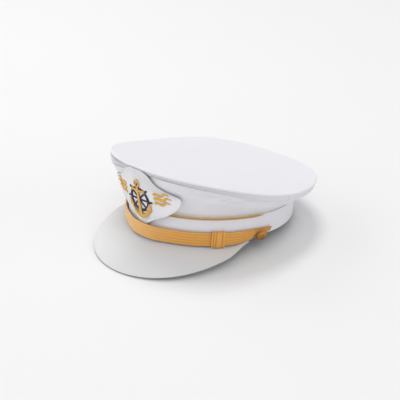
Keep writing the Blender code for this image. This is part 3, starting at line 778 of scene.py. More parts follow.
def rope(path, diameter, lay, sides):
    """Strands that wind round a path: each is a tube whose centre turns once round it in every lay. The
    diameter changes along the path."""
    diameter = diameter[:, None]
    side, up = frames(path)
    run = run_along(path)
    thick = diameter * STRAND_RADIUS
    found = []
    for n in range(PIPING_STRANDS):
        turn = (TURN * run / lay + TURN * n / PIPING_STRANDS)[:, None]
        centre = path + (diameter / 2 - thick) * (np.cos(turn) * side + np.sin(turn) * up)
        found.append(tube(centre, thick[:, 0], sides))
    return found


def resampled(path, spacing, closed=False):
    """The path's points at even spacing, and the distance run at each of them."""
    shut = np.concatenate([path, path[:1]]) if closed else path
    run = run_along(shut)
    count = max(int(round(run[-1] / spacing)), 4)
    at = np.linspace(0, run[-1], count, endpoint=not closed)
    return np.stack([np.interp(at, run, shut[:, k]) for k in range(path.shape[1])], -1), at


def stitched(path, half_width, thread, padding, place, closed=False):
    """A stroke of satin stitch on a path in the flat: threads side by side square to it.

    Across the stroke the height follows a flattened half circle, and along it each thread is the upper
    half of a cosine wave, so that neighbours meet in a sharp valley. place puts flat points on the object.
    """
    widths = np.broadcast_to(half_width, path.shape[:1])
    line, run = resampled(np.concatenate([path, widths[:, None]], 1), thread / 6, closed)
    flat, half = line[:, :2], line[:, 2]
    if closed:
        ahead = unit(np.roll(flat, -1, 0) - np.roll(flat, 1, 0))
        thread = run[-1] / round(run[-1] / thread)
        taper = 1.0
    else:
        ahead = unit(np.gradient(flat, axis=0))
        taper = np.minimum(1, 4 * np.minimum(run, run[-1] - run) / padding + 0.1)[:, None]
    aside = np.stack([-ahead[:, 1], ahead[:, 0]], -1)
    over = np.linspace(0, math.pi, 11)
    across = np.concatenate([np.cos(over), [-0.4, 0.4]])
    rise = np.concatenate([np.sin(over) ** 0.75, [0, 0]])
    sunk = np.concatenate([0 * over, [1, 1]])
    valley = np.abs(np.cos(math.pi * run[:, None] / thread))
    ridge = 0.3 * thread * valley * np.minimum(rise * 3, 1)
    ends = 1 + 0.05 * valley - 0.03 * np.sin(2.7 * run[:, None] / thread)
    spot = flat[:, None] + aside[:, None] * (half[:, None] * across * ends)[..., None]
    lift = (padding * rise + ridge) * taper - STITCH_ROOT * sunk
    return place(spot[..., 0], spot[..., 1], lift)


def stitches(path, length, gap, radius):
    """A row of stitches along a path: short threads with round ends that dip into the cloth."""
    line, run = resampled(path, (length + gap) / 8)
    count = int(run[-1] / (length + gap))
    share = np.linspace(0, 1, 7)
    at = np.arange(count)[:, None] * (length + gap) + share * length
    centre, out, rise = (
        np.stack([np.interp(at, run, part[:, k]) for k in range(3)], -1)[:, :, None]
        for part in (line, *frames(line))
    )
    turn = circle(6)[:, None]
    body = radius * np.sqrt(np.clip(1 - (2 * share - 1) ** 4, 0.02, 1))[:, None, None]
    dip = 0.5 * radius * hump(share, 0, 1)[:, None, None]
    return centre + body * (np.cos(turn) * out + np.sin(turn) * rise) + dip * out


# Finishes


class Finish:
    """A material under construction, with short ways to add and join its nodes."""

    def __init__(self, name, colour, roughness, metallic=0.0, sheen=0.0, coat=0.0):
        self.material = bpy.data.materials.new(name)
        self.material.use_nodes = True
        self.tree = self.material.node_tree
        self.shader = self.tree.nodes["Principled BSDF"]
        self.show("Base Color", (*colour, 1))
        self.show("Roughness", roughness)
        self.show("Metallic", metallic)
        self.show("Sheen Weight", sheen)
        self.show("Coat Weight", coat)
        self.material.diffuse_color = (*colour, 1)

    def set(self, node, socket, value):
        if isinstance(value, bpy.types.NodeSocket):
            self.tree.links.new(value, node.inputs[socket])
        else:
            node.inputs[socket].default_value = value

    def show(self, socket, value):
        self.set(self.shader, socket, value)

    def node(self, kind, settings=None, **inputs):
        made = self.tree.nodes.new("ShaderNode" + kind)
        for name, value in (settings or {}).items():
            setattr(made, name, value)
        for name, value in inputs.items():
            self.set(made, name.replace("_", " "), value)
        return made

    def maths(self, operation, first, second=0.0):
        made = self.node("Math", {"operation": operation})
        self.set(made, 0, first)
        self.set(made, 1, second)
        return made.outputs[0]

    def surface_run(self):
        """The run along and across the piece, in metres, from its own map."""
        parts = self.node("SeparateXYZ", Vector=self.node("UVMap", {"uv_map": "weave"}).outputs["UV"])
        return parts.outputs["X"], parts.outputs["Y"]

    def marked(self, name):
        """The number that mark keeps at each point of a piece."""
        return self.node("Attribute", {"attribute_name": name}).outputs["Fac"]

    def wave(self, run, pitch):
        return self.maths("SINE", self.maths("MULTIPLY", run, TURN / pitch))

    def noise(self, size, detail=2.0, stretch=None):
        """Noise in Object coordinates whose lumps have a size in metres."""
        place = self.node("TexCoord").outputs["Object"]
        if stretch:
            place = self.node("Mapping", Vector=place, Scale=stretch).outputs["Vector"]
        return self.node("TexNoise", Vector=place, Scale=1 / size, Detail=detail).outputs["Fac"]

    def blend(self, share, first, second):
        made = self.node("Mix", {"data_type": "RGBA"})
        self.set(made, 0, share)
        self.set(made, 6, (*first, 1) if isinstance(first, tuple) else first)
        self.set(made, 7, (*second, 1) if isinstance(second, tuple) else second)
        return made.outputs[2]

    def between(self, value, low, high):
        """value from 0 to 1, moved to between low and high."""
        made = self.node("MapRange", Value=value)
        self.set(made, "To Min", low)
        self.set(made, "To Max", high)
        return made.outputs["Result"]

    def bump(self, height, distance, before=None):
        made = self.node("Bump", Height=height, Distance=distance, Strength=1.0)
        if before is not None:
            self.set(made, "Normal", before)
        return made.outputs["Normal"]


def shaded(colour, share):
    return tuple(min(1.0, part * share) for part in colour)


def kept(name):
    return bpy.data.materials.get(name)


def mark(obj, name, values):
    """Keeps a number from 0 to 1 at each point of a piece, for its finish."""
    layer = obj.data.attributes.new(name, "FLOAT", "POINT")
    layer.data.foreach_set("value", values.ravel())


def cloth(name="white cloth"):
    """Plain woven cloth: crossed sine waves for the threads, fine slubs, a slight unevenness of colour, and
    painted shade where a piece's seam mark darkens it.
    """
    if kept(name):
        return kept(name)
    settings = bpy.context.scene.cap_cloth
    colour = tuple(settings.colour)
    made = Finish(name, colour, 0.82, sheen=0.12)
    along, across = made.surface_run()
    weave = made.maths("MULTIPLY", made.wave(along, settings.weave), made.wave(across, settings.weave))
    slubs = made.noise(1.1 * MM, 3)
    soft = made.noise(34 * MM, 3)
    tone = made.blend(soft, shaded(colour, 0.965), shaded(colour, 1.02))
    tone = made.blend(made.between(slubs, 0.0, 0.5), tone, shaded(colour, 0.95))
    # Painted shade: the seam mark darkens the cloth where shade falls, at the strip's foot, folds and seams
    # and along the band's lower edge
    tone = made.blend(made.marked("seam"), tone, shaded(colour, 0.55))
    made.show("Base Color", tone)
    made.show("Roughness", made.between(slubs, 0.76, 0.90))
    rough = made.bump(slubs, 0.05 * MM)
    made.show("Normal", made.bump(weave, 0.035 * MM, rough))
    return made.material


def twill(name="panel cloth"):
    """Stiffened twill: slanting ridges, from one sine wave along both runs together."""
    if kept(name):
        return kept(name)
    colour = shaded(tuple(bpy.context.scene.cap_cloth.colour), 1.12)
    made = Finish(name, colour, 0.8, sheen=0.1)
    along, across = made.surface_run()
    ridge = made.wave(made.maths("ADD", along, across), 0.75 * MM)
    threads = made.wave(made.maths("SUBTRACT", along, across), 0.4 * MM)
    soft = made.noise(12 * MM, 3)
    made.show("Base Color", made.blend(soft, shaded(colour, 0.95), shaded(colour, 1.03)))
    fine = made.bump(threads, 0.02 * MM)
    made.show("Normal", made.bump(ridge, 0.05 * MM, fine))
    return made.material


def peak_finish(name="satin peak"):
    """Coated board: a satin film over a very fine grain."""
    if kept(name):
        return kept(name)
    colour = tuple(bpy.context.scene.cap_cloth.peak_colour)
    made = Finish(name, colour, 0.36, coat=0.08)
    grain = made.noise(0.5 * MM, 4)
    cloudy = made.noise(28 * MM, 2)
    made.show("Base Color", made.blend(cloudy, shaded(colour, 0.975), shaded(colour, 1.02)))
    made.show("Roughness", made.between(cloudy, 0.33, 0.43))
    made.show("Normal", made.bump(grain, 0.02 * MM))
    return made.material


def shaded_cut_edge(name="board edge"):
    """The cut edge of the peak and of the badge panel: dark grey with fine layers, painted shade for the dark
    line along their edges.
    """
    if kept(name):
        return kept(name)
    made = Finish(name, (0.30, 0.30, 0.30), 0.75)
    layers = made.noise(0.35 * MM, 3, (0.2, 0.2, 2.0))
    made.show("Base Color", made.blend(layers, (0.24, 0.24, 0.24), (0.42, 0.41, 0.40)))
    made.show("Normal", made.bump(layers, 0.05 * MM))
    return made.material


def ribbon(name="gold ribbon", along_ribs=True, valley=0.8):
    """Ribbed gold ribbon: threads across it as a sine wave, painted lighter on the ribs and darker in their
    valleys, with a painted highlight and painted shade where the strap marks them.
    """
    if kept(name):
        return kept(name)
    colour = tuple(bpy.context.scene.cap_trim.ribbon_colour)
    made = Finish(name, colour, 0.42, metallic=0.4, sheen=0.1)
    along, across = made.surface_run()
    run = along if along_ribs else across
    threads = made.wave(run, 0.55 * MM)
    silk = made.noise(0.8 * MM, 3)
    cloudy = made.noise(9 * MM, 3)
    # Painted light and shade: the ribs lighter and their valleys darker, by the rib mark
    tone = made.blend(made.marked("rib"), shaded(colour, valley), shaded(colour, 1.1))
    tone = made.blend(made.between(cloudy, 0.0, 0.5), tone, shaded(colour, 0.82))
    tone = made.blend(made.between(threads, 0.0, 0.12), tone, shaded(colour, 0.5))
    # Painted highlight: paler where the strap's sheen catches the light at the front
    tone = made.blend(made.marked("painted_highlight"), tone, (0.95, 0.62, 0.27))
    # Painted shade: darker where the seam mark asks, along the strap's edges and in its fold
    tone = made.blend(made.marked("seam"), tone, shaded(colour, 0.2))
    made.show("Base Color", tone)
    made.show("Roughness", made.between(silk, 0.32, 0.5))
    rough = made.bump(silk, 0.04 * MM)
    made.show("Normal", made.bump(threads, 0.05 * MM, rough))
    return made.material


def gold_cord(name="gold cord"):
    """Twisted gold cord: fine filaments along each strand."""
    if kept(name):
        return kept(name)
    colour = tuple(bpy.context.scene.cap_trim.cord_colour)
    made = Finish(name, colour, 0.42, metallic=0.45)
    glints = made.noise(0.5 * MM, 3)
    made.show("Base Color", made.blend(glints, shaded(colour, 0.6), shaded(colour, 1.25)))
    made.show("Roughness", made.between(glints, 0.34, 0.55))
    made.show("Normal", made.bump(glints, 0.05 * MM))
    return made.material


def thread(name, colour, metallic, roughness, glint):
    """Embroidery thread: filaments that catch the light unevenly."""
    if kept(name):
        return kept(name)
    made = Finish(name, colour, roughness, metallic=metallic, sheen=0.1)
    filaments = made.noise(0.35 * MM, 3)
    cloudy = made.noise(3 * MM, 2)
    tone = made.blend(cloudy, shaded(colour, 0.78), shaded(colour, glint))
    tone = made.blend(made.between(filaments, 0, 0.6), tone, shaded(colour, 0.6))
    made.show("Base Color", tone)
    made.show("Normal", made.bump(filaments, 0.04 * MM))
    return made.material


def sewing_thread(name="white thread"):
    """White sewing thread, a little glossier than the cloth."""
    if kept(name):
        return kept(name)
    made = Finish(name, (0.82, 0.82, 0.84), 0.55, sheen=0.1)
    ply = made.noise(0.25 * MM, 2)
    made.show("Base Color", made.blend(ply, (0.74, 0.74, 0.77), (0.86, 0.86, 0.88)))
    made.show("Normal", made.bump(ply, 0.03 * MM))
    return made.material


def gilt(name="gilt metal"):
    """Gilt metal: satin, with faint wear and fine scratches."""
    if kept(name):
        return kept(name)
    colour = tuple(bpy.context.scene.cap_trim.button_colour)
    made = Finish(name, colour, 0.3, metallic=1.0)
    wear = made.noise(1.6 * MM, 4)
    scratches = made.noise(0.5 * MM, 3, (1, 1, 6))
    made.show("Base Color", made.blend(wear, shaded(colour, 0.78), shaded(colour, 1.12)))
    made.show("Roughness", made.between(wear, 0.24, 0.44))
    made.show("Normal", made.bump(scratches, 0.03 * MM))
    return made.material


# Pieces


class MakeCrownTop(bpy.types.Operator):
    """The white disc of cloth and its edge rolled over the rim"""

    bl_idname = "sailor_cap.crown_top"
    bl_label = "Crown Top"

    def execute(self, context):
        pucker = context.scene.cap_cloth.pucker
        azimuth = azimuths(280)
        around, share = np.meshgrid(azimuth, 1 - np.linspace(0, 1, 44)[:-1] ** 1.6)
        flat = top_surface(around, share)
        near_edge = smooth(share, 0.86, 1.0) * (1 - smooth(share, 0.985, 1.0))
        flat[..., 2] += 0.8 * pucker * gathers(around, 47) * near_edge
        dent = groove(around - TOP_DENT_AT, 5 * DEG) - 0.7 * groove(around - TOP_DENT_AT - 10 * DEG, 5 * DEG)
        flat[..., 2] -= TOP_DENT * dent * groove(share - 0.95, 0.05)
        slow = np.sin(3 * around + 0.6) * np.sin(math.pi * share) + 0.7 * np.sin(5 * around - 1.1) * share**2
        flat[..., 2] += TOP_WAVES * slow * (1 - smooth(share, 0.9, 1.0))
        skirt = [on_rim(azimuth, 0, down) for down in (RIM_ROUND + 2 * GAP, RIM_ROUND)]
        roll = [
            on_rim(azimuth, RIM_ROUND * (1 - math.sin(bend)), RIM_ROUND * (1 - math.cos(bend)))
            for bend in np.linspace(90, 0, 10)[:-1] * DEG
        ]
        rows = np.concatenate([skirt, roll, flat])
        uv = np.concatenate([rows, rows[:, :1]], 1)[..., :2]
        middle = (0, -CROWN_FORWARD, top_surface(np.zeros(1), np.zeros(1))[0, 2])
        made = put(
            "top_cloth", rows, cloth(), round_across=True, pole=middle, uv=uv,
            wall=TOP_WALL, edge=0.4 * MM, replaces="crown_top",
        )
        return {"FINISHED"}


class MakeRimStrip(bpy.types.Operator):
    """The strip of cloth under the rim, with its row of stitches"""

    bl_idname = "sailor_cap.rim_strip"
    bl_label = "Rim Strip"

    def strip(self, azimuth, share, pucker):
        """The strip: leaning in from the rim to its lower edge, with gathers between the stitches, a groove
        under them and at each side seam, and the soft fold on one side of the front."""
        start = RIM_ROUND + 3 * GAP
        down = start + (strip_foot(azimuth) - start) * share
        fold = FOLD_WELT * groove(down - FOLD_BELOW - FOLD_WELT_BELOW, FOLD_WELT_HALF)
        fold = fold - FOLD_VALLEY * groove(down - FOLD_BELOW, FOLD_VALLEY_HALF)
        fold = fold * groove(azimuth - FOLD_AT, FOLD_HALF_ANGLE) * smooth(np.abs(azimuth), 7 * DEG, 16 * DEG)
        fold = fold * (1 - 0.5 * smooth(-azimuth, 30 * DEG, 42 * DEG))
        swell = fold + pucker * gathers(azimuth, 120) * hump(share, 0, 1) ** 2
        swell -= SIDE_SEAM_DEPTH * side_seams(azimuth) + STITCH_SINK * groove(share - STITCH_LINE, 0.08)
        return on_rim(azimuth, strip_lean(azimuth, share) - swell, down)

    def shade(self, azimuth, share):
        """Painted shade on the strip, from 0 to 1: along its foot beside the badge panel, over its front as a
        whole but for the part that leans out, in the fold's valley and in the side seams."""
        height = strip_foot(azimuth) - RIM_ROUND
        found = 0.05 + 0.95 * groove(np.abs(azimuth) - 25 * DEG, 15 * DEG)
        found *= groove((1 - share) * height - 0.3 * MM, 0.6 * MM)
        found += 0.45 - 0.25 * smooth(np.abs(azimuth), 40 * DEG, 80 * DEG)
        found *= 1 - 0.9 * groove(azimuth + 44 * DEG, 18 * DEG)
        valley = groove(RIM_ROUND + share * height - FOLD_BELOW, FOLD_VALLEY_HALF)
        valley *= groove(azimuth - FOLD_AT, FOLD_HALF_ANGLE) * (1 - smooth(-azimuth, 28 * DEG, 38 * DEG))
        return np.clip(found + 0.5 * valley + 0.4 * side_seams(azimuth), 0, 1)

    def execute(self, context):
        settings = context.scene.cap_cloth
        around, share = np.meshgrid(azimuths(720), np.linspace(1, 0, 29))
        rows = self.strip(around, share, settings.pucker)
        made = put(
            "rim_cloth", rows, cloth(), round_across=True, wall=STRIP_WALL, edge=0.35 * MM,
            replaces="rim_strip",
        )
        # The seam mark here is the painted shade worked out by shade()
        mark(made, "seam", self.shade(around, share))
        path = self.strip(np.linspace(-math.pi, math.pi, 1440), np.full(1440, STITCH_LINE), 0.0)
        gap = 0.25 * settings.stitch
        put(
            "rim_stitches", stitches(path, settings.stitch - gap, gap, STITCH_RADIUS), sewing_thread(),
            round_across=True, caps=True,
        )
        return {"FINISHED"}


class MakeCrownSide(bpy.types.Operator):
    """The flared cloth side of the crown, with its folds and gathers"""

    bl_idname = "sailor_cap.crown_side"
    bl_label = "Crown Side"

    def execute(self, context):
        levels = np.concatenate([np.linspace(0, 0.86, 62), np.linspace(0.875, 1, 16)])
        around, height = np.meshgrid(azimuths(480), levels)
        rows = side_surface(around, height, context.scene.cap_cloth.pucker)
        rows -= rim_outward(around) * (BACK_SEAM_DEPTH * back_seam(around))[..., None]
        made = put(
            "side_cloth", rows, cloth(), round_across=True, wall=CLOTH_WALL, edge=0.3 * MM,
            replaces="crown_side",
        )
        return {"FINISHED"}


class MakeBand(bpy.types.Operator):
    """The stiff cloth-covered band round the head"""

    bl_idname = "sailor_cap.band"
    bl_label = "Band"

    def execute(self, context):
        levels = np.concatenate([np.linspace(0, 0.12, 5), np.linspace(0.16, 1, 14)])
        around, up = np.meshgrid(azimuths(480), levels)
        low = band_edge(around)
        height = low + (BAND_HEIGHT - low) * up
        ease = 0.4 * context.scene.cap_cloth.pucker * gathers(around, 71) * smooth(up, 0.5, 0.9)
        rows = band_outside(around, height, ease - BACK_SEAM_DEPTH * back_seam(around))
        made = put(
            "band_cloth", rows, cloth(), round_across=True, wall=BAND_WALL, edge=0.8 * MM,
            replaces="band",
        )
        # Painted shade: a dark line along the band's lower edge at the sides and back, for the contact shadow
        # near the floor
        mark(made, "seam", 0.8 * groove(up, 0.03) * smooth(np.abs(around), 78 * DEG, 83 * DEG))
        return {"FINISHED"}


class MakePiping(bpy.types.Operator):
    """The two twisted gold cords of the crown seam, and the white welt behind them"""

    bl_idname = "sailor_cap.piping"
    bl_label = "Piping"

    def execute(self, context):
        trim = context.scene.cap_trim
        turn = np.linspace(-PIPING_END, PIPING_END, 520)
        top_of_cords = (PIPING_SPACING + PIPING_DIAMETER) / 2
        thin = PIPING_DIAMETER * (0.35 + 0.65 * smooth(PIPING_END - np.abs(turn), 0, PIPING_TAPER))
        for name, side in (("upper", 1), ("lower", -1)):
            out = GAP + PIPING_DIAMETER / 2
            if side > 0:
                share = np.full_like(turn, top_of_cords / (RIM_BACK_HEIGHT - BAND_HEIGHT))
                overhang = (side_surface(turn, share) - band_outside(turn, BAND_HEIGHT))[:, :2]
                out = out + np.linalg.norm(overhang, axis=1)
            path = band_outside(turn, BAND_HEIGHT + side * PIPING_SPACING / 2, out)
            put(
                f"piping_{name}_cord", rope(path, thin, trim.cord_lay, 8), gold_cord(),
                round_across=True, caps=True, replaces=f"piping_{name}",
            )
        turn = np.linspace(WELT_START, TURN - WELT_START, 400)
        turn = np.where(turn > math.pi, turn - TURN, turn)
        path = band_outside(turn, BAND_HEIGHT - WELT_DIAMETER / 2, GAP + WELT_DIAMETER / 2)
        taper = 0.4 + 0.6 * smooth(np.abs(turn), WELT_START, WELT_START + PIPING_TAPER)
        radius = WELT_DIAMETER / 2 * taper * (1 - 0.06 * (0.5 + 0.5 * gathers(turn, 95)))
        put(
            "back_welt", tube(path, radius, 12), cloth(), round_across=True, caps=True,
            replaces="welt_back",
        )
        return {"FINISHED"}


class MakePeak(bpy.types.Operator):
    """The smooth peak"""

    bl_idname = "sailor_cap.peak"
    bl_label = "Peak"

    def execute(self, context):
        """Straight lines from a land under the band to the edge, a half oval whose reach and drop follow
        powers of one cosine, swollen by a parabola across, with the edge drawn in at its rounded ends."""
        share = np.sin(np.linspace(-45, 45, 181) * DEG) / math.sin(45 * DEG)
        turn = share * PEAK_END
        sweep = share * math.pi / 2
        under = band_edge(turn) - GAP
        inner = band_outside(turn, under, -BAND_WALL)
        land = band_outside(turn, under, GAP)
        end_height = band_edge(np.array(PEAK_END)) - GAP
        end_y = land[0, 1]
        curl = np.clip(np.cos(sweep), 0, 1)
        reach = (BAND_HALF_LENGTH + PEAK_LENGTH + end_y) * curl**PEAK_SWEEP_POWER
        drop = (PEAK_DROP + end_height) * curl**PEAK_DROP_POWER
        edge = np.stack([PEAK_HALF_WIDTH * np.sin(sweep), end_y - reach, end_height - drop], -1)
        drawn_in = PEAK_CORNER * smooth(np.abs(share), PEAK_CORNER_FROM, 1.0)
        edge = edge - (edge - land) * drawn_in[:, None]
        rows = [inner, inner + (land - inner) / 2]
        for across in np.linspace(0, 1, 25) ** 0.9:
            row = land + (edge - land) * across
            row[:, 2] += PEAK_BULGE * 4 * across * (1 - across) * curl
            rows.append(row)
        # Its cut edge is painted dark grey: painted shade along the peak's edge
        put(
            "peak_board", rows[::-1], peak_finish(), wall=PEAK_WALL, edge=0.45 * MM,
            cut_edge=shaded_cut_edge(), replaces="peak",
        )
        return {"FINISHED"}


class MakeChinStrap(bpy.types.Operator):
    """The ribbed gold strap with its two sliders"""

    bl_idname = "sailor_cap.chin_strap"
    bl_label = "Chin Strap"

    def execute(self, context):
        trim = context.scene.cap_trim
        turn = np.linspace(-STRAP_END, STRAP_END, 520)
        share = np.linspace(1, 0, 8 * trim.ribs + 1)
        across, along = np.meshgrid(share, turn)
        low, high = strap_edges(along)
        height = low + (high - low) * across
        rib = np.abs(np.sin(math.pi * trim.ribs * across)) ** 0.55
        end = smooth(np.abs(along), 0.84 * STRAP_END, STRAP_END)
        crease = groove(across - 0.42 - 0.05 * (along / STRAP_END) ** 2, 0.12) * end
        lift = STRAP_BOW * np.sin(math.pi * across) + trim.rib_height * rib - STRAP_CREASE * crease
        lift = lift + STRAP_CURL * smooth(np.abs(along), 0.95 * STRAP_END, STRAP_END) * across**2
        rows = band_outside(along, height, strap_standoff(along) + STRAP_WALL + lift)
        strap = put(
            "strap_ribbon", rows, ribbon(), wall=STRAP_WALL, edge=0.3 * MM,
            replaces="chin_strap",
        )
        # The rib mark also paints the ribs lighter and their valleys darker
        mark(strap, "rib", rib)
        # Painted highlight: paler at the front, towards the wearer's right, where the light catches the
        # strap's sheen
        mark(strap, "painted_highlight", 0.7 * groove(along + 18 * DEG, 27 * DEG))
        # Painted shade: dark lines along both edges, more at the folded ends, and a dark patch at the lower
        # edge where the end is tucked in beside the button
        shade = (0.37 + 0.5 * end) * (groove(across, 0.03) + groove(1 - across, 0.03))
        shade += groove(np.abs(along) / STRAP_END - STRAP_STEP_AT, 0.025) * groove(across, 0.22)
        mark(strap, "seam", np.clip(shade, 0, 1))
        for word, side in (("left", 1), ("right", -1)):
            self.slider(word, side)
        return {"FINISHED"}

    def slider(self, word, side):
        """A keeper round the strap: a box with round corners whose outside has upright ribs."""
        reach = band_outside(np.array(SLIDER_AT), np.array(0.0))
        half = SLIDER_LENGTH / 2 / math.hypot(reach[0], reach[1])
        along = np.linspace(-1, 1, 61)
        turn = side * (SLIDER_AT + half * along)
        low, high = strap_edges(turn)
        margin = GAP + SLIDER_WALL
        inner = strap_standoff(turn) - margin
        rib_height = bpy.context.scene.cap_trim.rib_height
        outer = strap_standoff(turn) + STRAP_WALL + STRAP_BOW + rib_height + margin
        rib = 1 - 0.9 * sum(groove(along - at, 0.07) for at in SLIDER_GROOVES)
        c, s = np.cos(circle(40)), np.sin(circle(40))
        box = (np.abs(c) ** 8 + np.abs(s) ** 8) ** (-1 / 8)
        across = (0.5 + 0.5 * box * s)[None]
        depth = (0.5 + 0.5 * box * c)[None]
        height = low[:, None] - margin + (high - low + 2 * margin)[:, None] * across
        out = inner[:, None] + (outer - inner)[:, None] * depth
        outside = np.maximum(c, 0)[None]
        out = out + outside * (SLIDER_RIB * rib[:, None] + SLIDER_BOW * np.sin(math.pi * across))
        rows = band_outside(turn[:, None] + 0 * across, height, out)[:, ::-side]
        # Its grooves are painted dark: painted shade in the valleys between its ribs
        made = put(
            f"slider_{word}_ribbon", rows, ribbon("gold slider", False, 0.35),
            round_across=True, wall=SLIDER_WALL, edge=0.2 * MM, replaces=f"slider_{word}",
        )
        mark(made, "rib", rib[:, None] + 0 * across)


class MakeButtons(bpy.types.Operator):
    """The gilt side buttons, each a dome on a short shank with a corded rim and a small anchor"""

    bl_idname = "sailor_cap.buttons"
    bl_label = "Side Buttons"

    def place(self, side, lift):
        """Where a button sits: the middle of its back, and the directions along it, up it and the way that
        it faces, which leans forward and down on the shank."""
        azimuth = side * BUTTON_AT
        seat = band_outside(np.array(azimuth), np.array(BUTTON_HEIGHT))
        ahead = band_outside(np.array(azimuth + 1e-3), np.array(BUTTON_HEIGHT)) - seat
        out = unit(np.array([-ahead[1], ahead[0], 0]))
        out = out if out[0] * side > 0 else -out
        forward = np.array([-out[1], out[0], 0])
        forward = forward if forward[1] < 0 else -forward
        lean = out * math.cos(BUTTON_SWING) + forward * math.sin(BUTTON_SWING)
        face = lean * math.cos(BUTTON_NOD) - np.array([0, 0, math.sin(BUTTON_NOD)])
        along = np.cross([0, 0, 1.0], lean)
        return seat + out * (BUTTON_SHANK + lift), along, np.cross(face, along), face

    def execute(self, context):
        lift = STRAP_END_STANDOFF + STRAP_WALL + STRAP_BOW + context.scene.cap_trim.rib_height + 2 * GAP
        for word, side in (("left", 1), ("right", -1)):
            middle, along, up, face = self.place(side, lift)

            def on_button(x, y, rise):
                return middle + face * rise[..., None] + along * x[..., None] + up * y[..., None]

            def on_dome(x, y, rise):
                reach = np.minimum(np.hypot(x, y) / (0.92 * BUTTON_RADIUS), 1)
                return on_button(x, y, BUTTON_RIM + BUTTON_DOME * np.sqrt(1 - reach**2) + 0.6 * rise)

            put(
                f"button_{word}_dome", self.dome(on_button), gilt(), round_across=True,
                caps=True, replaces=f"button_{word}",
            )
            for number, (path, half) in enumerate(anchor_strokes(BUTTON_ANCHOR)):
                stroke = stitched(path, half, 0.9 * MM, 0.45 * MM, on_dome)
                name = f"button_{word}_anchor_{number + 1}"
                put(name, stroke, gilt(), round_across=True, caps=True)
        return {"FINISHED"}

    def dome(self, on_button):
        """A turned form: a quarter oval, a bead that is ribbed on the slant like a cord, and a shank."""
        cap = np.linspace(0.02, 0.5 * math.pi, 16)
        bead = np.linspace(0.35 * math.pi, -0.75 * math.pi, 14)
        along_bead = np.linspace(0, 1, 14)
        shank = np.zeros(3)
        radius = np.concatenate([0.9 * np.sin(cap), 0.93 + 0.07 * np.cos(bead), [0.8, 0.3, 0.3]])
        dome_rise = BUTTON_RIM + BUTTON_DOME * np.cos(cap)
        bead_rise = BUTTON_RIM / 2 * (1 + np.sin(bead))
        rise = np.concatenate([dome_rise, bead_rise, [0, 0, -BUTTON_SHANK]])
        ribbed = np.concatenate([0 * cap, np.maximum(hump(along_bead, 0, 1), 0), shank])[:, None]
        slant = np.concatenate([0 * cap, 2 * along_bead, shank])[:, None]
        around, radius = np.meshgrid(circle(144), BUTTON_RADIUS * radius)
        radius = radius + BUTTON_CORDING * ribbed * np.abs(np.cos(18 * around + slant)) - 0.1 * MM
        return on_button(radius * np.cos(around), radius * np.sin(around), rise[:, None] + 0 * around)


def arc(centre, radius, start, end, steps):
    """Points along a circle, with angles in degrees from +X."""
    turn = np.radians(np.linspace(start, end, steps))
    return np.stack([centre[0] + radius * np.cos(turn), centre[1] + radius * np.sin(turn)], -1)


def anchor_strokes(height):
    """One anchor on the origin as (path, half width) strokes: arms, flukes, stock, shank and eye. It is
    drawn 42 units high."""
    unit_size = height / 42
    strokes = [(arc((0, -7.2), 12.1, 199, 341, 41), 1.25 + 1.05 * np.sin(np.linspace(0, math.pi, 41)))]
    for side in (-1, 1):
        fluke = np.stack([np.linspace(side * 12.0, side * 14.2, 9), np.linspace(-11.0, -2.6, 9)], -1)
        strokes.append((fluke, np.linspace(3.4, 0.35, 9)))
    stock = np.stack([np.linspace(-9.6, 9.6, 21), np.full(21, 9.0)], -1)
    strokes.append((stock, 1.25 + 0.3 * np.abs(np.linspace(-1, 1, 21)) ** 3))
    shank = np.stack([np.zeros(21), np.linspace(-19.5, 13.2, 21)], -1)
    strokes.append((shank, np.linspace(2.1, 1.5, 21)))
    strokes.append((arc((0, 16.6), 3.05, -90, 268, 41), np.full(41, 0.95)))
    return [(path * unit_size, half * unit_size) for path, half in strokes]


class MakeBadgePanel(bpy.types.Operator):
    """The stiff cloth panel that carries the emblem"""

    bl_idname = "sailor_cap.badge_panel"
    bl_label = "Badge Panel"

    def execute(self, context):
        level, reach = through(PANEL_OUTLINE, 8).T
        height = PANEL_BOTTOM + (PANEL_TOP - PANEL_BOTTOM) * level[:, None]
        across = np.sin(np.linspace(-90, 90, 57) * DEG * 0.8) / math.sin(72 * DEG)
        x = PANEL_HALF_WIDTH * reach[:, None] * across
        # Its cut edge is painted dark grey: painted shade along the panel's edge, where a shadow gap lies
        put(
            "panel_cloth", panel_point(x, height), twill(), wall=PANEL_BOARD, edge=0.2 * MM,
            cut_edge=shaded_cut_edge(), replaces="badge_panel",
        )
        return {"FINISHED"}


